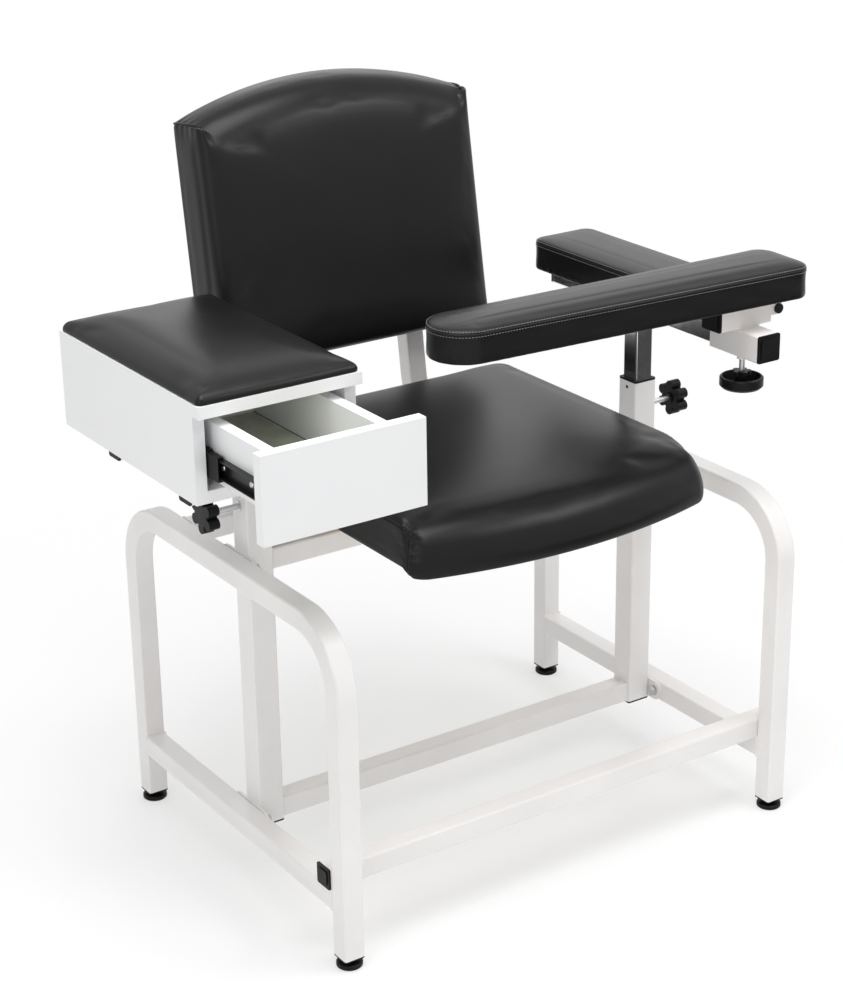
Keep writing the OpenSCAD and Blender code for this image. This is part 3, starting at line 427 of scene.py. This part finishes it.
def crown_of(plan, side, front, top):
    """The height of a pad's top from how far a place is from each edge."""
    hw, d, bow = plan.half_width, plan.depth, plan.bow
    big = (hw * hw + bow * bow) / (2 * bow)
    least_reach = 90

    def drop(table, i, reach):
        rows = smooth_profile(table)
        rows = rows[np.where(np.diff(rows[:, 0]) <= 0)[0][-1] + 1:]
        left = 1 - np.clip((i - rows[-1, 0]) / (reach - rows[-1, 0]), 0, 1)
        return np.where(i <= rows[-1, 0], top - np.interp(i, rows[:, 0], rows[:, 1]),
                        (top - rows[-1, 1]) * left ** 4)

    def crown(p):
        x, y = np.abs(p[:, 0]), p[:, 1]
        near = np.where(y > big, big - x + 2 * (y - big), big - np.hypot(x, y - big))
        drops = [drop(side, hw - x, hw), drop(front, near, max(d / 2, least_reach)),
                 drop(side, d - y, d / 2)]
        return top - sum(v ** 3 for v in drops) ** (1 / 3)
    return crown


# The crown takes over from the profile from this inset, over this reach
CROWN_FROM, CROWN_REACH = 7, 15
POCKET_SHARE = 0.1


def soft_form(plan, side, front, mapping, least, centre, top, caps=14, hold=0.0):
    """Points and faces of a pad. side and front are profiles of equal length; centre is the
    middle of the top in plan and top its height. mapping takes local points to the scene.
    Also returns the rings in its frame."""
    shape = pad_shape(plan, least)
    crown = crown_of(plan, side, front, top)
    side, front = smooth_profile(side), smooth_profile(front)
    share = front_share(hold)
    rings = []
    for k in range(len(side)):
        low_ring, high_ring = shape(side[k, 0]), shape(front[k, 0])
        xy = low_ring * (1 - share[:, None]) + high_ring * share[:, None]
        z = side[k, 1] * (1 - share) + front[k, 1] * share
        inset = side[k, 0] * (1 - share) + front[k, 0] * share
        if k > len(side) / 2:
            w = np.clip((inset - CROWN_FROM) / CROWN_REACH, 0, 1)
            w = w * w * (3 - 2 * w)
            z = z * (1 - w) + crown(xy) * w
        rings.append(np.column_stack([xy, z]))
    last = rings[-1]
    mid = np.array([centre[0], centre[1], top])
    for s in np.linspace(1, 0.05, caps)[1:]:
        xy = mid[:2] + (last[:, :2] - mid[:2]) * s
        rings.append(np.column_stack([xy, crown(xy)]))
    n = len(last)
    first = rings[0]
    base_mid = np.array([centre[0], centre[1], first[:, 2].mean()])
    inner = first.copy()
    inner[:, :2] = base_mid[:2] + (first[:, :2] - base_mid[:2]) * POCKET_SHARE
    rings.insert(0, inner)
    placed = [mapping(r) for r in rings]
    points = np.vstack(placed + [mapping(base_mid[None]), mapping(mid[None])])
    faces = []
    for j in range(len(rings) - 1):
        for k in range(n):
            q = (k + 1) % n
            faces.append((j * n + k, j * n + q, (j + 1) * n + q, (j + 1) * n + k))
    m = len(rings)
    faces += [(m * n, (k + 1) % n, k) for k in range(n)]
    faces += [(m * n + 1, (m - 1) * n + k, (m - 1) * n + (k + 1) % n) for k in range(n)]
    return points, faces, placed


def applied(obj):
    """Replaces an object's mesh by its modified mesh and drops the modifiers."""
    seen = obj.evaluated_get(bpy.context.evaluated_depsgraph_get())
    mesh = bpy.data.meshes.new_from_object(seen)
    old = obj.data
    obj.modifiers.clear()
    obj.data = mesh
    bpy.data.meshes.remove(old)


def coords_of(mesh):
    """The places of a mesh's points."""
    a = np.empty(len(mesh.vertices) * 3)
    mesh.vertices.foreach_get("co", a)
    return a.reshape(-1, 3)


CLOTH = {
    "quality": 4, "mass": 0.35, "tension_stiffness": 20, "compression_stiffness": 20,
    "shear_stiffness": 10, "bending_stiffness": 3, "air_damping": 2,
    "vertex_group_mass": "held", "pin_stiffness": 1, "use_pressure": True}
CLOTH_FRAMES = 20
# A point takes the mean move of this many points of the cloth, which falls off over SPREAD
NEIGHBOURS = 22
SPREAD = 0.009


def swollen(points, faces, voxel, pressure, held):
    """How far the form's skin moves, as cloth under pressure, near each of its points."""
    probe = new_object("probe", points, faces, VINYL)
    mod = probe.modifiers.new("remesh", "REMESH")
    mod.mode = "VOXEL"
    mod.voxel_size = voxel
    applied(probe)
    start = coords_of(probe.data)
    group = probe.vertex_groups.new(name="held")
    for index, weight in enumerate(held(start)):
        if weight > 0:
            group.add([index], float(weight), "REPLACE")
    cloth = probe.modifiers.new("cloth", "CLOTH")
    for key, value in CLOTH.items():
        setattr(cloth.settings, key, value)
    cloth.settings.uniform_pressure_force = pressure
    cloth.settings.effector_weights.gravity = 0
    cloth.collision_settings.use_self_collision = False
    cloth.point_cache.frame_start = 1
    cloth.point_cache.frame_end = CLOTH_FRAMES
    for f in range(1, CLOTH_FRAMES + 1):
        scene.frame_set(f)
    seen = probe.evaluated_get(bpy.context.evaluated_depsgraph_get())
    moved = coords_of(seen.data) - start
    scene.frame_set(1)
    tree = KDTree(len(start))
    for k, p in enumerate(start):
        tree.insert(p, k)
    tree.balance()
    out = np.zeros((len(points), 3))
    for k, p in enumerate(points):
        near = tree.find_n(p, NEIGHBOURS)
        index = [n[1] for n in near]
        weight = np.exp(-(np.array([n[2] for n in near]) / SPREAD) ** 2) + 1e-9
        out[k] = (moved[index] * weight[:, None]).sum(0) / weight.sum()
    bpy.data.objects.remove(probe, do_unlink=True)
    return out


BLOCK = 4000


def blocks(index):
    """An index in runs, so that the tables of distances stay small."""
    return (index[k:k + BLOCK] for k in range(0, len(index), BLOCK))


def puckers(points, path, depth, pitch, reach, seed):
    """Small folds that run into a seam, as heights along the normal."""
    step, run, clear = 0.002, 9, 0.003
    p = np.array([tuple(q) for q in even_path(path, step)])
    rng = np.random.default_rng(seed)
    phase = np.cumsum(rng.uniform(0.6, 1.5, len(p))) * step / pitch * 2 * math.pi
    knots = np.arange(0, len(p) + run, run)
    size = 0.4 + 0.6 * np.interp(np.arange(len(p)), knots, rng.uniform(0, 1, len(knots)))
    out = np.zeros(len(points))
    inside = (points > p.min(0) - reach) & (points < p.max(0) + reach)
    for at in blocks(np.where(inside.all(1))[0]):
        d = np.linalg.norm(points[at][:, None, :] - p[None], axis=2)
        best = d.argmin(1)
        d = d.min(1)
        fade = np.clip(d / clear, 0, 1) * np.exp(-(d / reach * 2) ** 2)
        out[at] = depth * size[best] * np.sin(phase[best]) * fade
    return out


def surface_of(obj):
    return BVHTree.FromObject(obj, bpy.context.evaluated_depsgraph_get())


def trim(name, form, body, mat):
    """A piece of trim that rides with a pad."""
    obj = new_object(name, *form, mat)
    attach(obj, body)


def thread_rows(name, tree, path, body, offsets=(0.0,), pitch=0.0046, length=0.0031,
                radius=0.00042, closed=False, mat=THREAD):
    """Rows of stitches beside a seam, each stitch a short rounded thread."""
    def thread(u):
        return radius * (0.55 + 0.45 * math.sin(math.pi * u))

    parts = []
    base = even_path(path, pitch, closed)
    n = len(base)
    for offset in offsets:
        for k in range(n if closed else n - 1):
            a, b = base[k], base[(k + 1) % n]
            t = (b - a).normalized()
            spot, normal, _, _ = tree.find_nearest((a + b) / 2)
            across = t.cross(normal).normalized()
            mid, normal, _, _ = tree.find_nearest(spot + across * offset)
            t = (t - normal * t.dot(normal)).normalized()
            row = []
            for s in (-0.5, -0.3, 0, 0.3, 0.5):
                dip = -radius * 0.9 if abs(s) == 0.5 else radius * (0.35 if s else 0.55)
                row.append(mid + t * (length * s) + normal * dip)
            parts.append(tube_along(row, thread, 6))
    trim(name, joined(parts), body, mat)


def welt(name, tree, path, body, radius, sink, closed=False):
    """A narrow raised fold of vinyl along a seam."""
    step, rounds = 0.003, 3
    pts = []
    for p in even_path(path, step, closed):
        spot, normal, _, _ = tree.find_nearest(p)
        pts.append(spot - normal * sink)
    for _ in range(rounds):
        q = list(pts)
        for k in range(len(pts)) if closed else range(1, len(pts) - 1):
            q[k] = (pts[k - 1] + pts[k] * 2 + pts[(k + 1) % len(pts)]) / 4
        pts = q
    trim(name, tube_along(pts, radius, 8, closed), body, VINYL)


def soft_piece(name, node, body, form, held, voxel, pressure, cap, folds=()):
    """A pad on its even mesh, swollen by up to cap where held() is 0, and with folds along
    seams, each a path with its depth, pitch, reach and seed."""
    points, faces, _ = form
    keep = held(points)
    moved = swollen(points, faces, voxel, pressure, held)
    size = np.maximum(np.linalg.norm(moved, axis=1, keepdims=True), 1e-9)
    points = points + moved * (cap * np.tanh(size / cap) / size) * (1 - keep)[:, None]
    obj = new_object(name, points, faces, VINYL)
    normal = np.empty(len(points) * 3)
    obj.data.vertices.foreach_get("normal", normal)
    lift = sum((puckers(points, *fold) for fold in folds), np.zeros(len(points)))
    points = points + normal.reshape(-1, 3) * lift[:, None]
    obj.data.vertices.foreach_set("co", points.ravel())
    obj.data.update()
    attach(obj, body)
    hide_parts(node)
    return obj


def near_path(points, path, reach):
    """1 on the path, falling to 0 at the reach."""
    p = np.array([tuple(q) for q in path])[::2]
    out = np.zeros(len(points))
    for at in blocks(np.arange(len(points))):
        d = np.sqrt(((points[at][:, None, :] - p[None]) ** 2).sum(-1)).min(1)
        out[at] = np.clip(1 - d / reach, 0, 1)
    return out


def near_any(points, paths, reach):
    return np.maximum(*(near_path(points, path, reach) for path in paths))


def rounded_path(path, times):
    path = [Vector(p) for p in path]
    for _ in range(times):
        path = [path[0]] + [(path[k - 1] + path[k] * 2 + path[k + 1]) / 4
                            for k in range(1, len(path) - 1)] + [path[-1]]
    return path


SEAM = ring_of(10)

# Seat

# The pads stand at the solids' own places, in mm. SEAT_SPOT is the middle of the seat's front
SEAT_SPOT = (5, -1, 511.0)
SEAT_PLAN = Plan(half_width=243, depth=522, front_r=36, back_r=24, bow=39)


def set_at(points, spot):
    """Local points in mm, taken to a spot of the source."""
    return (points + np.array(spot)) / 1000 + SHIFT_NP


def seat_map(r):
    return set_at(r, SEAT_SPOT)


SEAT_SIDE = [
    (9.3, 12.2), (9.2, 6), (9.0, 0.6), (6, 0.2), (3, 0.3), (1.4, 3), (1.6, 12), (2.6, 25), (2.2, 38),
    (1.2, 47), (1.0, 51.5), (2.2, 54.6), (5, 57.2), (10, 59.2), (18, 60.6), (30, 61.8), (46, 63)]
SEAT_FRONT = [
    (9.3, 12.2), (9.2, 2), (9.0, -10.6), (6, -11.4), (3, -11), (1.2, -7), (0.6, 1), (1.4, 11),
    (3.6, 21), (7.4, 30.5), (11.4, 36.6), (16, 41.6), (22, 46.4), (30, 51), (41, 55.2), (55, 58.8),
    (72, 61.6)]
seat_form = soft_form(SEAT_PLAN, SEAT_SIDE, SEAT_FRONT, seat_map, least=22, centre=(0, 270),
                      top=66.5, hold=0.5)
seat_rings = seat_form[2]


def seat_seam(sign):
    """From the back along the top edge of the side, then down round the front corner."""
    edge = seat_rings[SEAM + 2]
    if sign > 0:
        col = AT_SIDE + 5
        top = edge[col:AT_SIDE + N_SIDE + N_BACK // 2][::-1]
    else:
        col = N_RING - 12
        top = edge[AT_LEFT + N_BACK // 2:col + 1]
    down = [seat_rings[k][col] for k in range(SEAM, ring_of(3), -2)]
    return rounded_path(list(top) + down, 4)


seat_paths = [seat_seam(-1), seat_seam(1)]
seat_corners = [path[-20:] for path in seat_paths]


def seat_held(points):
    """Held are the underside inside the front roll, the foot of the skirt and the seams."""
    z = points[:, 2] * 1000 - SEAT_SPOT[2]
    skirt = np.clip((9 - z) / 6, 0, 1)
    inside = (z < 14) & (points[:, 1] - SHIFT[1] > 0.09)
    seams = near_any(points, seat_paths, 0.012)
    return np.clip(np.maximum(np.where(inside, 1, skirt), seams), 0, 1)


seat = soft_piece("seat_pad", "seat_cushion", "base_chair", seat_form, seat_held,
                  voxel=0.0085, pressure=4, cap=0.0022,
                  folds=[(seat_corners[0], 0.0008, 0.013, 0.03, 3),
                         (seat_corners[1], 0.0003, 0.013, 0.03, 5)])
tree = surface_of(seat)
for name, path, offset in zip(("left", "right"), seat_paths, (-0.0036, 0.0036)):
    welt(f"seat_{name}_seam", tree, path, "base_chair", radius=0.0013, sink=0.0004)
    thread_rows(f"seat_{name}_stitches", tree, path, "base_chair", (offset,), mat=DARK_THREAD_AND_GAP_SHADE)

# Back rest

# The back rest leans by LEAN about its foot. Its thickness grows by BACK_MORE from the top to
# the foot, where its profiles are drawn for BACK_DRAWN, and its pocket keeps its depth
LEAN = math.radians(7.84456)
BACK_PLAN = Plan(half_width=226, depth=393.0, front_r=12, back_r=26, bow=44)
BACK_FOOT = (0, 595, 628)
BACK_THICK, BACK_MORE, BACK_DRAWN = 72, 12, 61
POCKET = 12.3


def back_map(r):
    rise = BACK_PLAN.depth - r[:, 1]
    t = BACK_THICK + BACK_MORE * r[:, 1] / BACK_PLAN.depth
    above = (r[:, 2] - POCKET) * (t - POCKET) / (BACK_DRAWN - POCKET)
    out = np.where(r[:, 2] > POCKET, POCKET + above, r[:, 2])
    y = rise * math.sin(LEAN) - out * math.cos(LEAN)
    z = rise * math.cos(LEAN) + out * math.sin(LEAN)
    return set_at(np.column_stack([r[:, 0], y, z]), BACK_FOOT)


BACK_SIDE = [
    (8.3, 12.3), (8.2, 6), (8.0, 0.6), (5, 0.2), (2, 0.4), (1.0, 3), (1.0, 12), (2.0, 24), (2.2, 36),
    (2.0, 46), (2.4, 52.5), (4.2, 56.8), (7.8, 60.2), (13, 62.8), (21, 65.2), (32, 67), (46, 68.3)]
BACK_TOP = [
    (8.3, 12.3), (8.2, 6), (8.0, 0.6), (5, 0.2), (2, 0.6), (1.0, 3), (1.0, 11), (1.4, 20), (2.6, 29),
    (5.2, 38.5), (8.4, 44.8), (12.4, 50), (18, 54.8), (25, 59), (33, 62.4), (44, 65.4), (60, 68)]
back_form = soft_form(BACK_PLAN, BACK_SIDE, BACK_TOP, back_map, least=9, centre=(0, 200), top=72)
back_rings = back_form[2]


def back_pleat(sign):
    """The fold across the top of the side."""
    col = N_BOW + 6 if sign > 0 else N_RING - 7
    return rounded_path([back_rings[k][col] for k in range(ring_of(4), SEAM + 5, 2)], 3)


back_folds = [back_pleat(-1), back_pleat(1)]
BACK_OUT = Vector((0, -math.cos(LEAN), math.sin(LEAN)))


def back_held(points):
    """Held are the back's rear face and the two pleats."""
    out = (points - np.array(place(*BACK_FOOT))) @ np.array(BACK_OUT) * 1000
    rear = np.clip((15 - out) / 4, 0, 1)
    return np.clip(np.maximum(rear, near_any(points, back_folds, 0.014)), 0, 1)


back = soft_piece("back_pad", "back_cushion", "base_chair", back_form, back_held,
                  voxel=0.0085, pressure=4, cap=0.0015,
                  folds=[(back_folds[0], 0.0009, 0.015, 0.03, 7),
                         (back_folds[1], 0.0009, 0.015, 0.03, 9)])
tree = surface_of(back)
for name, fold in zip(("left", "right"), back_folds):
    welt(f"back_{name}_pleat", tree, fold, "base_chair", radius=0.0016, sink=0.0007)

# Arm pads

ARM_SIDE = [
    (6.3, 14.2), (6.2, 7), (6.0, 0.6), (4, 0.2), (2.2, 0.6), (1.2, 3), (1.0, 10), (1.4, 20), (1.4, 29),
    (1.0, 36), (1.0, 39.4), (1.7, 41.8), (3.6, 43.7), (7, 45.1), (13, 46.3), (21, 47.2), (31, 47.9)]
# The rear pad's pocket is less deep
REAR_ARM_SIDE = [(6.3, 9.9), (6.2, 5)] + ARM_SIDE[2:]
ARM_TURN = math.radians(2.3)
FRONT_ARM_PLAN = Plan(half_width=48, depth=571, front_r=46, back_r=26, bow=46)
FRONT_ARM_SPOT = (406, 75, 761.3)
# How much wider the hinge's end is, as a share of the width at the free end
FRONT_ARM_WIDER = 17 / 96
REAR_ARM_PLAN = Plan(half_width=54.5, depth=318, front_r=24, back_r=20, bow=4)
REAR_ARM_SPOT = (322, 161, 720.3)


def front_arm_map(r):
    length = FRONT_ARM_PLAN.depth
    along, across = r[:, 1] - length, -r[:, 0] * (1 + FRONT_ARM_WIDER * r[:, 1] / length)
    x = along * math.cos(ARM_TURN) + across * math.sin(ARM_TURN)
    y = across * math.cos(ARM_TURN) - along * math.sin(ARM_TURN)
    return set_at(np.column_stack([x, y, r[:, 2]]), FRONT_ARM_SPOT)


def rear_arm_map(r):
    return set_at(r, REAR_ARM_SPOT)


def arm_held(floor, edge):
    """Held are the foot of the skirt, up to the hem, and the seam."""
    def held(points):
        foot = np.clip((floor + 14 - points[:, 2] * 1000) / 3, 0, 1)
        return np.clip(np.maximum(foot, near_path(points, edge, 0.007)), 0, 1)
    return held


def arm_pad(name, node, body, plan, floor, mapping, table):
    form = soft_form(plan, table, table, mapping, least=14, centre=(0, plan.depth / 2), top=49)
    edge = [Vector(p) for p in form[2][SEAM]]
    hem = [Vector(p) for p in form[2][ring_of(4)]]
    pad = soft_piece(f"{name}_pad", node, body, form, arm_held(floor, edge),
                     voxel=0.0065, pressure=4, cap=0.0014,
                     folds=[(hem + hem[:1], 0.0005, 0.019, 0.014, 11)])
    on = surface_of(pad)
    welt(f"{name}_seam", on, edge, body, radius=0.0011, sink=0.0004, closed=True)
    thread_rows(f"{name}_stitches", on, edge, body, offsets=(-0.0034, 0.0034), pitch=0.0042,
                length=0.003, radius=0.00045, closed=True)


arm_pad("front_arm", "front_arm_cushion", "flip_arm", FRONT_ARM_PLAN, FRONT_ARM_SPOT[2],
        front_arm_map, ARM_SIDE)
arm_pad("rear_arm", "rear_arm_cushion", "arm_post", REAR_ARM_PLAN, REAR_ARM_SPOT[2],
        rear_arm_map, REAR_ARM_SIDE)

# Pad on the cabinet

LID_SIDE = [
    (14, 0.3), (8, 0.3), (1.6, 0.3), (0.5, 1.3), (0.2, 3), (0.8, 5.2), (2.6, 7.8), (5.6, 10.2),
    (10, 12.6), (16, 15), (24, 17.4), (34, 19.6), (46, 21.6)]
LID_PLAN = Plan(half_width=115, depth=381, front_r=9, back_r=9, bow=1)
LID_SPOT = (-353, 145, 749.5)


def lid_map(r):
    return set_at(r, LID_SPOT)


def lid_held(points):
    return np.clip((4.5 + LID_SPOT[2] - points[:, 2] * 1000) / 3, 0, 1)


lid_form = soft_form(LID_PLAN, LID_SIDE, LID_SIDE, lid_map, least=7, centre=(0, 190), top=25.5)
soft_piece("cabinet_pad", "cabinet_cushion", "cabinet", lid_form, lid_held,
           voxel=0.007, pressure=3.5, cap=0.002)

# Weld beads where the frame's tubes meet

WELD_R = 0.0016
WELD_CUT = 0.95
WELD_POINTS = 26


def weld_ring(centre, axis, half, radius=WELD_R, sides=7):
    """A rippled bead round a square tube's end. axis is 0, 1 or 2."""
    def reach(v):
        return max(-WELD_CUT, min(WELD_CUT, v) if abs(v) < 1 else math.copysign(1, v))

    first, second = (k for k in range(3) if k != axis)
    path = []
    for k in range(4 * WELD_POINTS):
        side, t = divmod(k, WELD_POINTS)
        u = -1 + 2 * t / WELD_POINTS
        a, b = ((u, -1), (1, u), (-u, 1), (-1, -u))[side]
        p = list(centre)
        p[first] += half[0] * reach(a)
        p[second] += half[1] * reach(b)
        path.append(place(*p))
    count = len(path)
    return tube_along(path, lambda u: radius * (1 + 0.16 * math.sin(u * count * 1.9)
                                                + 0.08 * math.sin(u * count * 0.63)), sides, True)


def weld(name, beads, body):
    obj = new_object(name, *joined(beads), COAT)
    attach(obj, body)


# Places in mm: the middles of the tubes, the faces that they meet and half their widths
TUBE_HALF = (15, 15)
CROSS_TUBE_HALF = (18.6, 18.6)
SIDE_X, RAIL_Z, TOP_RAIL_Z = 360, 93, 466
RAIL_ENDS_Y = (30.4, 541.6)
POST_Y, REAR_BAR_Y = 290, 427
POST_FACE_X, REAR_BAR_END_X, UPRIGHT_X = 302.6, 344.6, 138
UPRIGHT_FOOT_Z, CROSSBAR_Y, CROSSBAR_FOOT_Z = 481.2, 45, 108.2
SLEEVE_CROSSING = (322, 75, 724.2)

beads = []
for s in (-1, 1):
    for y in RAIL_ENDS_Y:
        beads.append(weld_ring((s * SIDE_X, y, RAIL_Z), 1, TUBE_HALF))
    for z in (RAIL_Z, TOP_RAIL_Z):
        beads.append(weld_ring((s * POST_FACE_X, POST_Y, z), 0, TUBE_HALF))
    beads.append(weld_ring((s * REAR_BAR_END_X, REAR_BAR_Y, TOP_RAIL_Z), 0, TUBE_HALF))
    for y in (POST_Y, REAR_BAR_Y):
        beads.append(weld_ring((s * UPRIGHT_X, y, UPRIGHT_FOOT_Z), 2, TUBE_HALF, 0.0012))
    beads.append(weld_ring((s * SIDE_X, CROSSBAR_Y, CROSSBAR_FOOT_Z), 2, TUBE_HALF, 0.0012))
weld("weld_beads", beads, "base_chair")
weld("sleeve_weld", [weld_ring(SLEEVE_CROSSING, 2, CROSS_TUBE_HALF, 0.0013)], "arm_slider")

# Painted shade: a dark strip laid on the drawer's floor along its side, standing in for the shade in
# the narrow gap where the floor meets the side

GAP_SHADE_WIDTH = 0.0016
GAP_SHADE_LIFT = 0.0002
low, high = (Vector(corner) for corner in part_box("drawer_floor"))
x, z = high.x - GAP_SHADE_WIDTH, high.z + GAP_SHADE_LIFT
corners = [(x, low.y, z), (high.x, low.y, z), (high.x, high.y, z), (x, high.y, z)]
gap_shade_strip = new_object("drawer_gap_shade", corners, [(0, 1, 2, 3)], DARK_THREAD_AND_GAP_SHADE, False)
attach(gap_shade_strip, "drawer")

# Screws of the ball slides

HEAD = [(1.0, 0.0), (0.98, 0.45), (0.82, 0.85), (0.5, 1.0), (0.2, 0.98), (0.1, 0.6)]
HEAD_R, HEAD_H, HEAD_SIDES = 0.0042, 0.0016, 24
SLOT_TURN, SLOT_WIDTH, SLOT_REACH, SLOT_DEPTH = 0.26, 0.52, 0.6, 0.55


def pan_head(centre, axis_sign):
    """A low domed head with a cross slot, on a face that looks along X."""
    verts, faces = [], []
    for r, h in HEAD:
        for j in range(HEAD_SIDES):
            w = 2 * math.pi * j / HEAD_SIDES
            in_slot = min((w + SLOT_TURN) % (math.pi / 2), math.pi / 2) < SLOT_WIDTH
            notch = SLOT_DEPTH if r < SLOT_REACH and in_slot else 1
            verts.append(centre + Vector((axis_sign * HEAD_H * h * notch, HEAD_R * r * math.cos(w),
                                          HEAD_R * r * math.sin(w))))
    for k in range(len(HEAD) - 1):
        for j in range(HEAD_SIDES):
            a, b, q = k * HEAD_SIDES, (k + 1) * HEAD_SIDES, (j + 1) % HEAD_SIDES
            faces.append((a + j, a + q, b + q, b + j))
    faces.append(tuple(range(HEAD_SIDES)))
    faces.append(tuple((len(HEAD) - 1) * HEAD_SIDES + j for j in range(HEAD_SIDES)))
    return verts, faces


# The web's face in a slide, in metres from its back, and the screws along it, in mm
SLIDE_WEB = 0.009 - 0.0012
SCREWS_Y = (70, 139, 300)

low_in, high_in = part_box("slide_inners")
mid_z = (low_in[2] + high_in[2]) / 2
parts = []
for y in SCREWS_Y:
    for x, sign in ((low_in[0] + SLIDE_WEB, -1), (high_in[0] - SLIDE_WEB, 1)):
        parts.append(pan_head(Vector((x, place(0, y, 0).y, mid_z)), sign))
heads = new_object("slide_screws", *joined(parts), ZINC)
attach(heads, "drawer")

# Floor, backdrop and light

def seen_white(nodes, links):
    """1 for rays that a camera, a reflection or a clear body sends, 0 for light."""
    rays = nodes.new("ShaderNodeLightPath")
    last = rays.outputs["Is Camera Ray"]
    for kind in ("Is Glossy Ray", "Is Transmission Ray"):
        more = nodes.new("ShaderNodeMath")
        more.operation = "MAXIMUM"
        links.new(last, more.inputs[0])
        links.new(rays.outputs[kind], more.inputs[1])
        last = more.outputs[0]
    return last


# Between these distances from the middle, in metres, the floor's own light grows from the
# first share to the second
GLOW_AT = 0.45, 1.5
GLOW_SHARE = 0.5, 1.0
FLOOR_HALF = 9

floor_mat = new_material("floor", (0.93, 0.93, 0.93), 0.8, Specular_IOR_Level=0.1)
grain = texture(floor_mat, "ShaderNodeTexNoise", 3, Detail=2.0)
vary_color(floor_mat, grain.outputs["Fac"], (0.925, 0.925, 0.925), (0.935, 0.935, 0.935))
nodes, links = floor_mat.node_tree.nodes, floor_mat.node_tree.links
coords = nodes["coords"]
flat = nodes.new("ShaderNodeVectorMath")
flat.operation = "LENGTH"
links.new(coords.outputs["Object"], flat.inputs[0])
far = ranged(floor_mat, flat.outputs["Value"], *GLOW_AT, *GLOW_SHARE)
share = nodes.new("ShaderNodeMath")
share.operation = "MULTIPLY"
links.new(far, share.inputs[0])
links.new(seen_white(nodes, links), share.inputs[1])
glow = nodes.new("ShaderNodeEmission")
both = nodes.new("ShaderNodeMixShader")
links.new(share.outputs[0], both.inputs["Fac"])
links.new(nodes["Principled BSDF"].outputs["BSDF"], both.inputs[1])
links.new(glow.outputs["Emission"], both.inputs[2])
links.new(both.outputs["Shader"], nodes["Material Output"].inputs["Surface"])
floor_mat.cycles.emission_sampling = "NONE"
corners = [(FLOOR_HALF * a, FLOOR_HALF * b, 0) for a, b in ((-1, -1), (1, -1), (1, 1), (-1, 1))]
floor = new_object("floor", corners, [(0, 1, 2, 3)], floor_mat, False)

SKY_LIGHT = 0.54

world = bpy.data.worlds.new("studio")
scene.world = world
world.use_nodes = True
nodes, links = world.node_tree.nodes, world.node_tree.links
nodes.clear()
out = nodes.new("ShaderNodeOutputWorld")
mix = nodes.new("ShaderNodeMixShader")
soft = nodes.new("ShaderNodeBackground")
soft.inputs["Color"].default_value = (1, 1, 1, 1)
soft.inputs["Strength"].default_value = SKY_LIGHT
white = nodes.new("ShaderNodeBackground")
white.inputs["Color"].default_value = (1, 1, 1, 1)
links.new(seen_white(nodes, links), mix.inputs["Fac"])
links.new(soft.outputs[0], mix.inputs[1])
links.new(white.outputs[0], mix.inputs[2])
links.new(mix.outputs[0], out.inputs["Surface"])


def area(name, spot, aim, size, power):
    """A lamp of the size in metres and the power in watts, aimed at a spot."""
    data = bpy.data.lights.new(name, "AREA")
    data.shape = "RECTANGLE"
    data.size, data.size_y = size
    data.energy = power
    obj = bpy.data.objects.new(name, data)
    scene.collection.objects.link(obj)
    obj.location = spot
    obj.rotation_euler = (Vector(aim) - Vector(spot)).to_track_quat("-Z", "Y").to_euler()


FLAG = moulded("flag", (0.02, 0.02, 0.02), 0.8)
FLAG_CORNERS = [(0.3, -3.2, 0.02), (2.9, -2.2, 0.02), (2.1, -0.75, 0.02), (0.4, -0.95, 0.02)]


def flag(name, corners):
    """A dark card that only reflections see."""
    card = new_object(name, corners, [(0, 1, 2, 3)], FLAG, False)
    for kind in ("camera", "diffuse", "transmission", "volume_scatter", "shadow"):
        setattr(card, "visible_" + kind, False)


flag("floor_flag", FLAG_CORNERS)
area("roll_light", (1.05, -1.15, 2.1), (0, -0.15, 0.6), (0.9, 0.6), 12)
area("top_light", (-0.25, -0.35, 2.75), (0, 0, 0.5), (1.4, 1.4), 47)
area("left_light", (-3.0, -1.6, 1.8), (0, 0, 0.6), (1.6, 2.0), 17)
area("back_light", (1.8, 2.6, 2.2), (0, 0, 0.7), (2.0, 1.4), 8)

scene.view_settings.view_transform = "Standard"
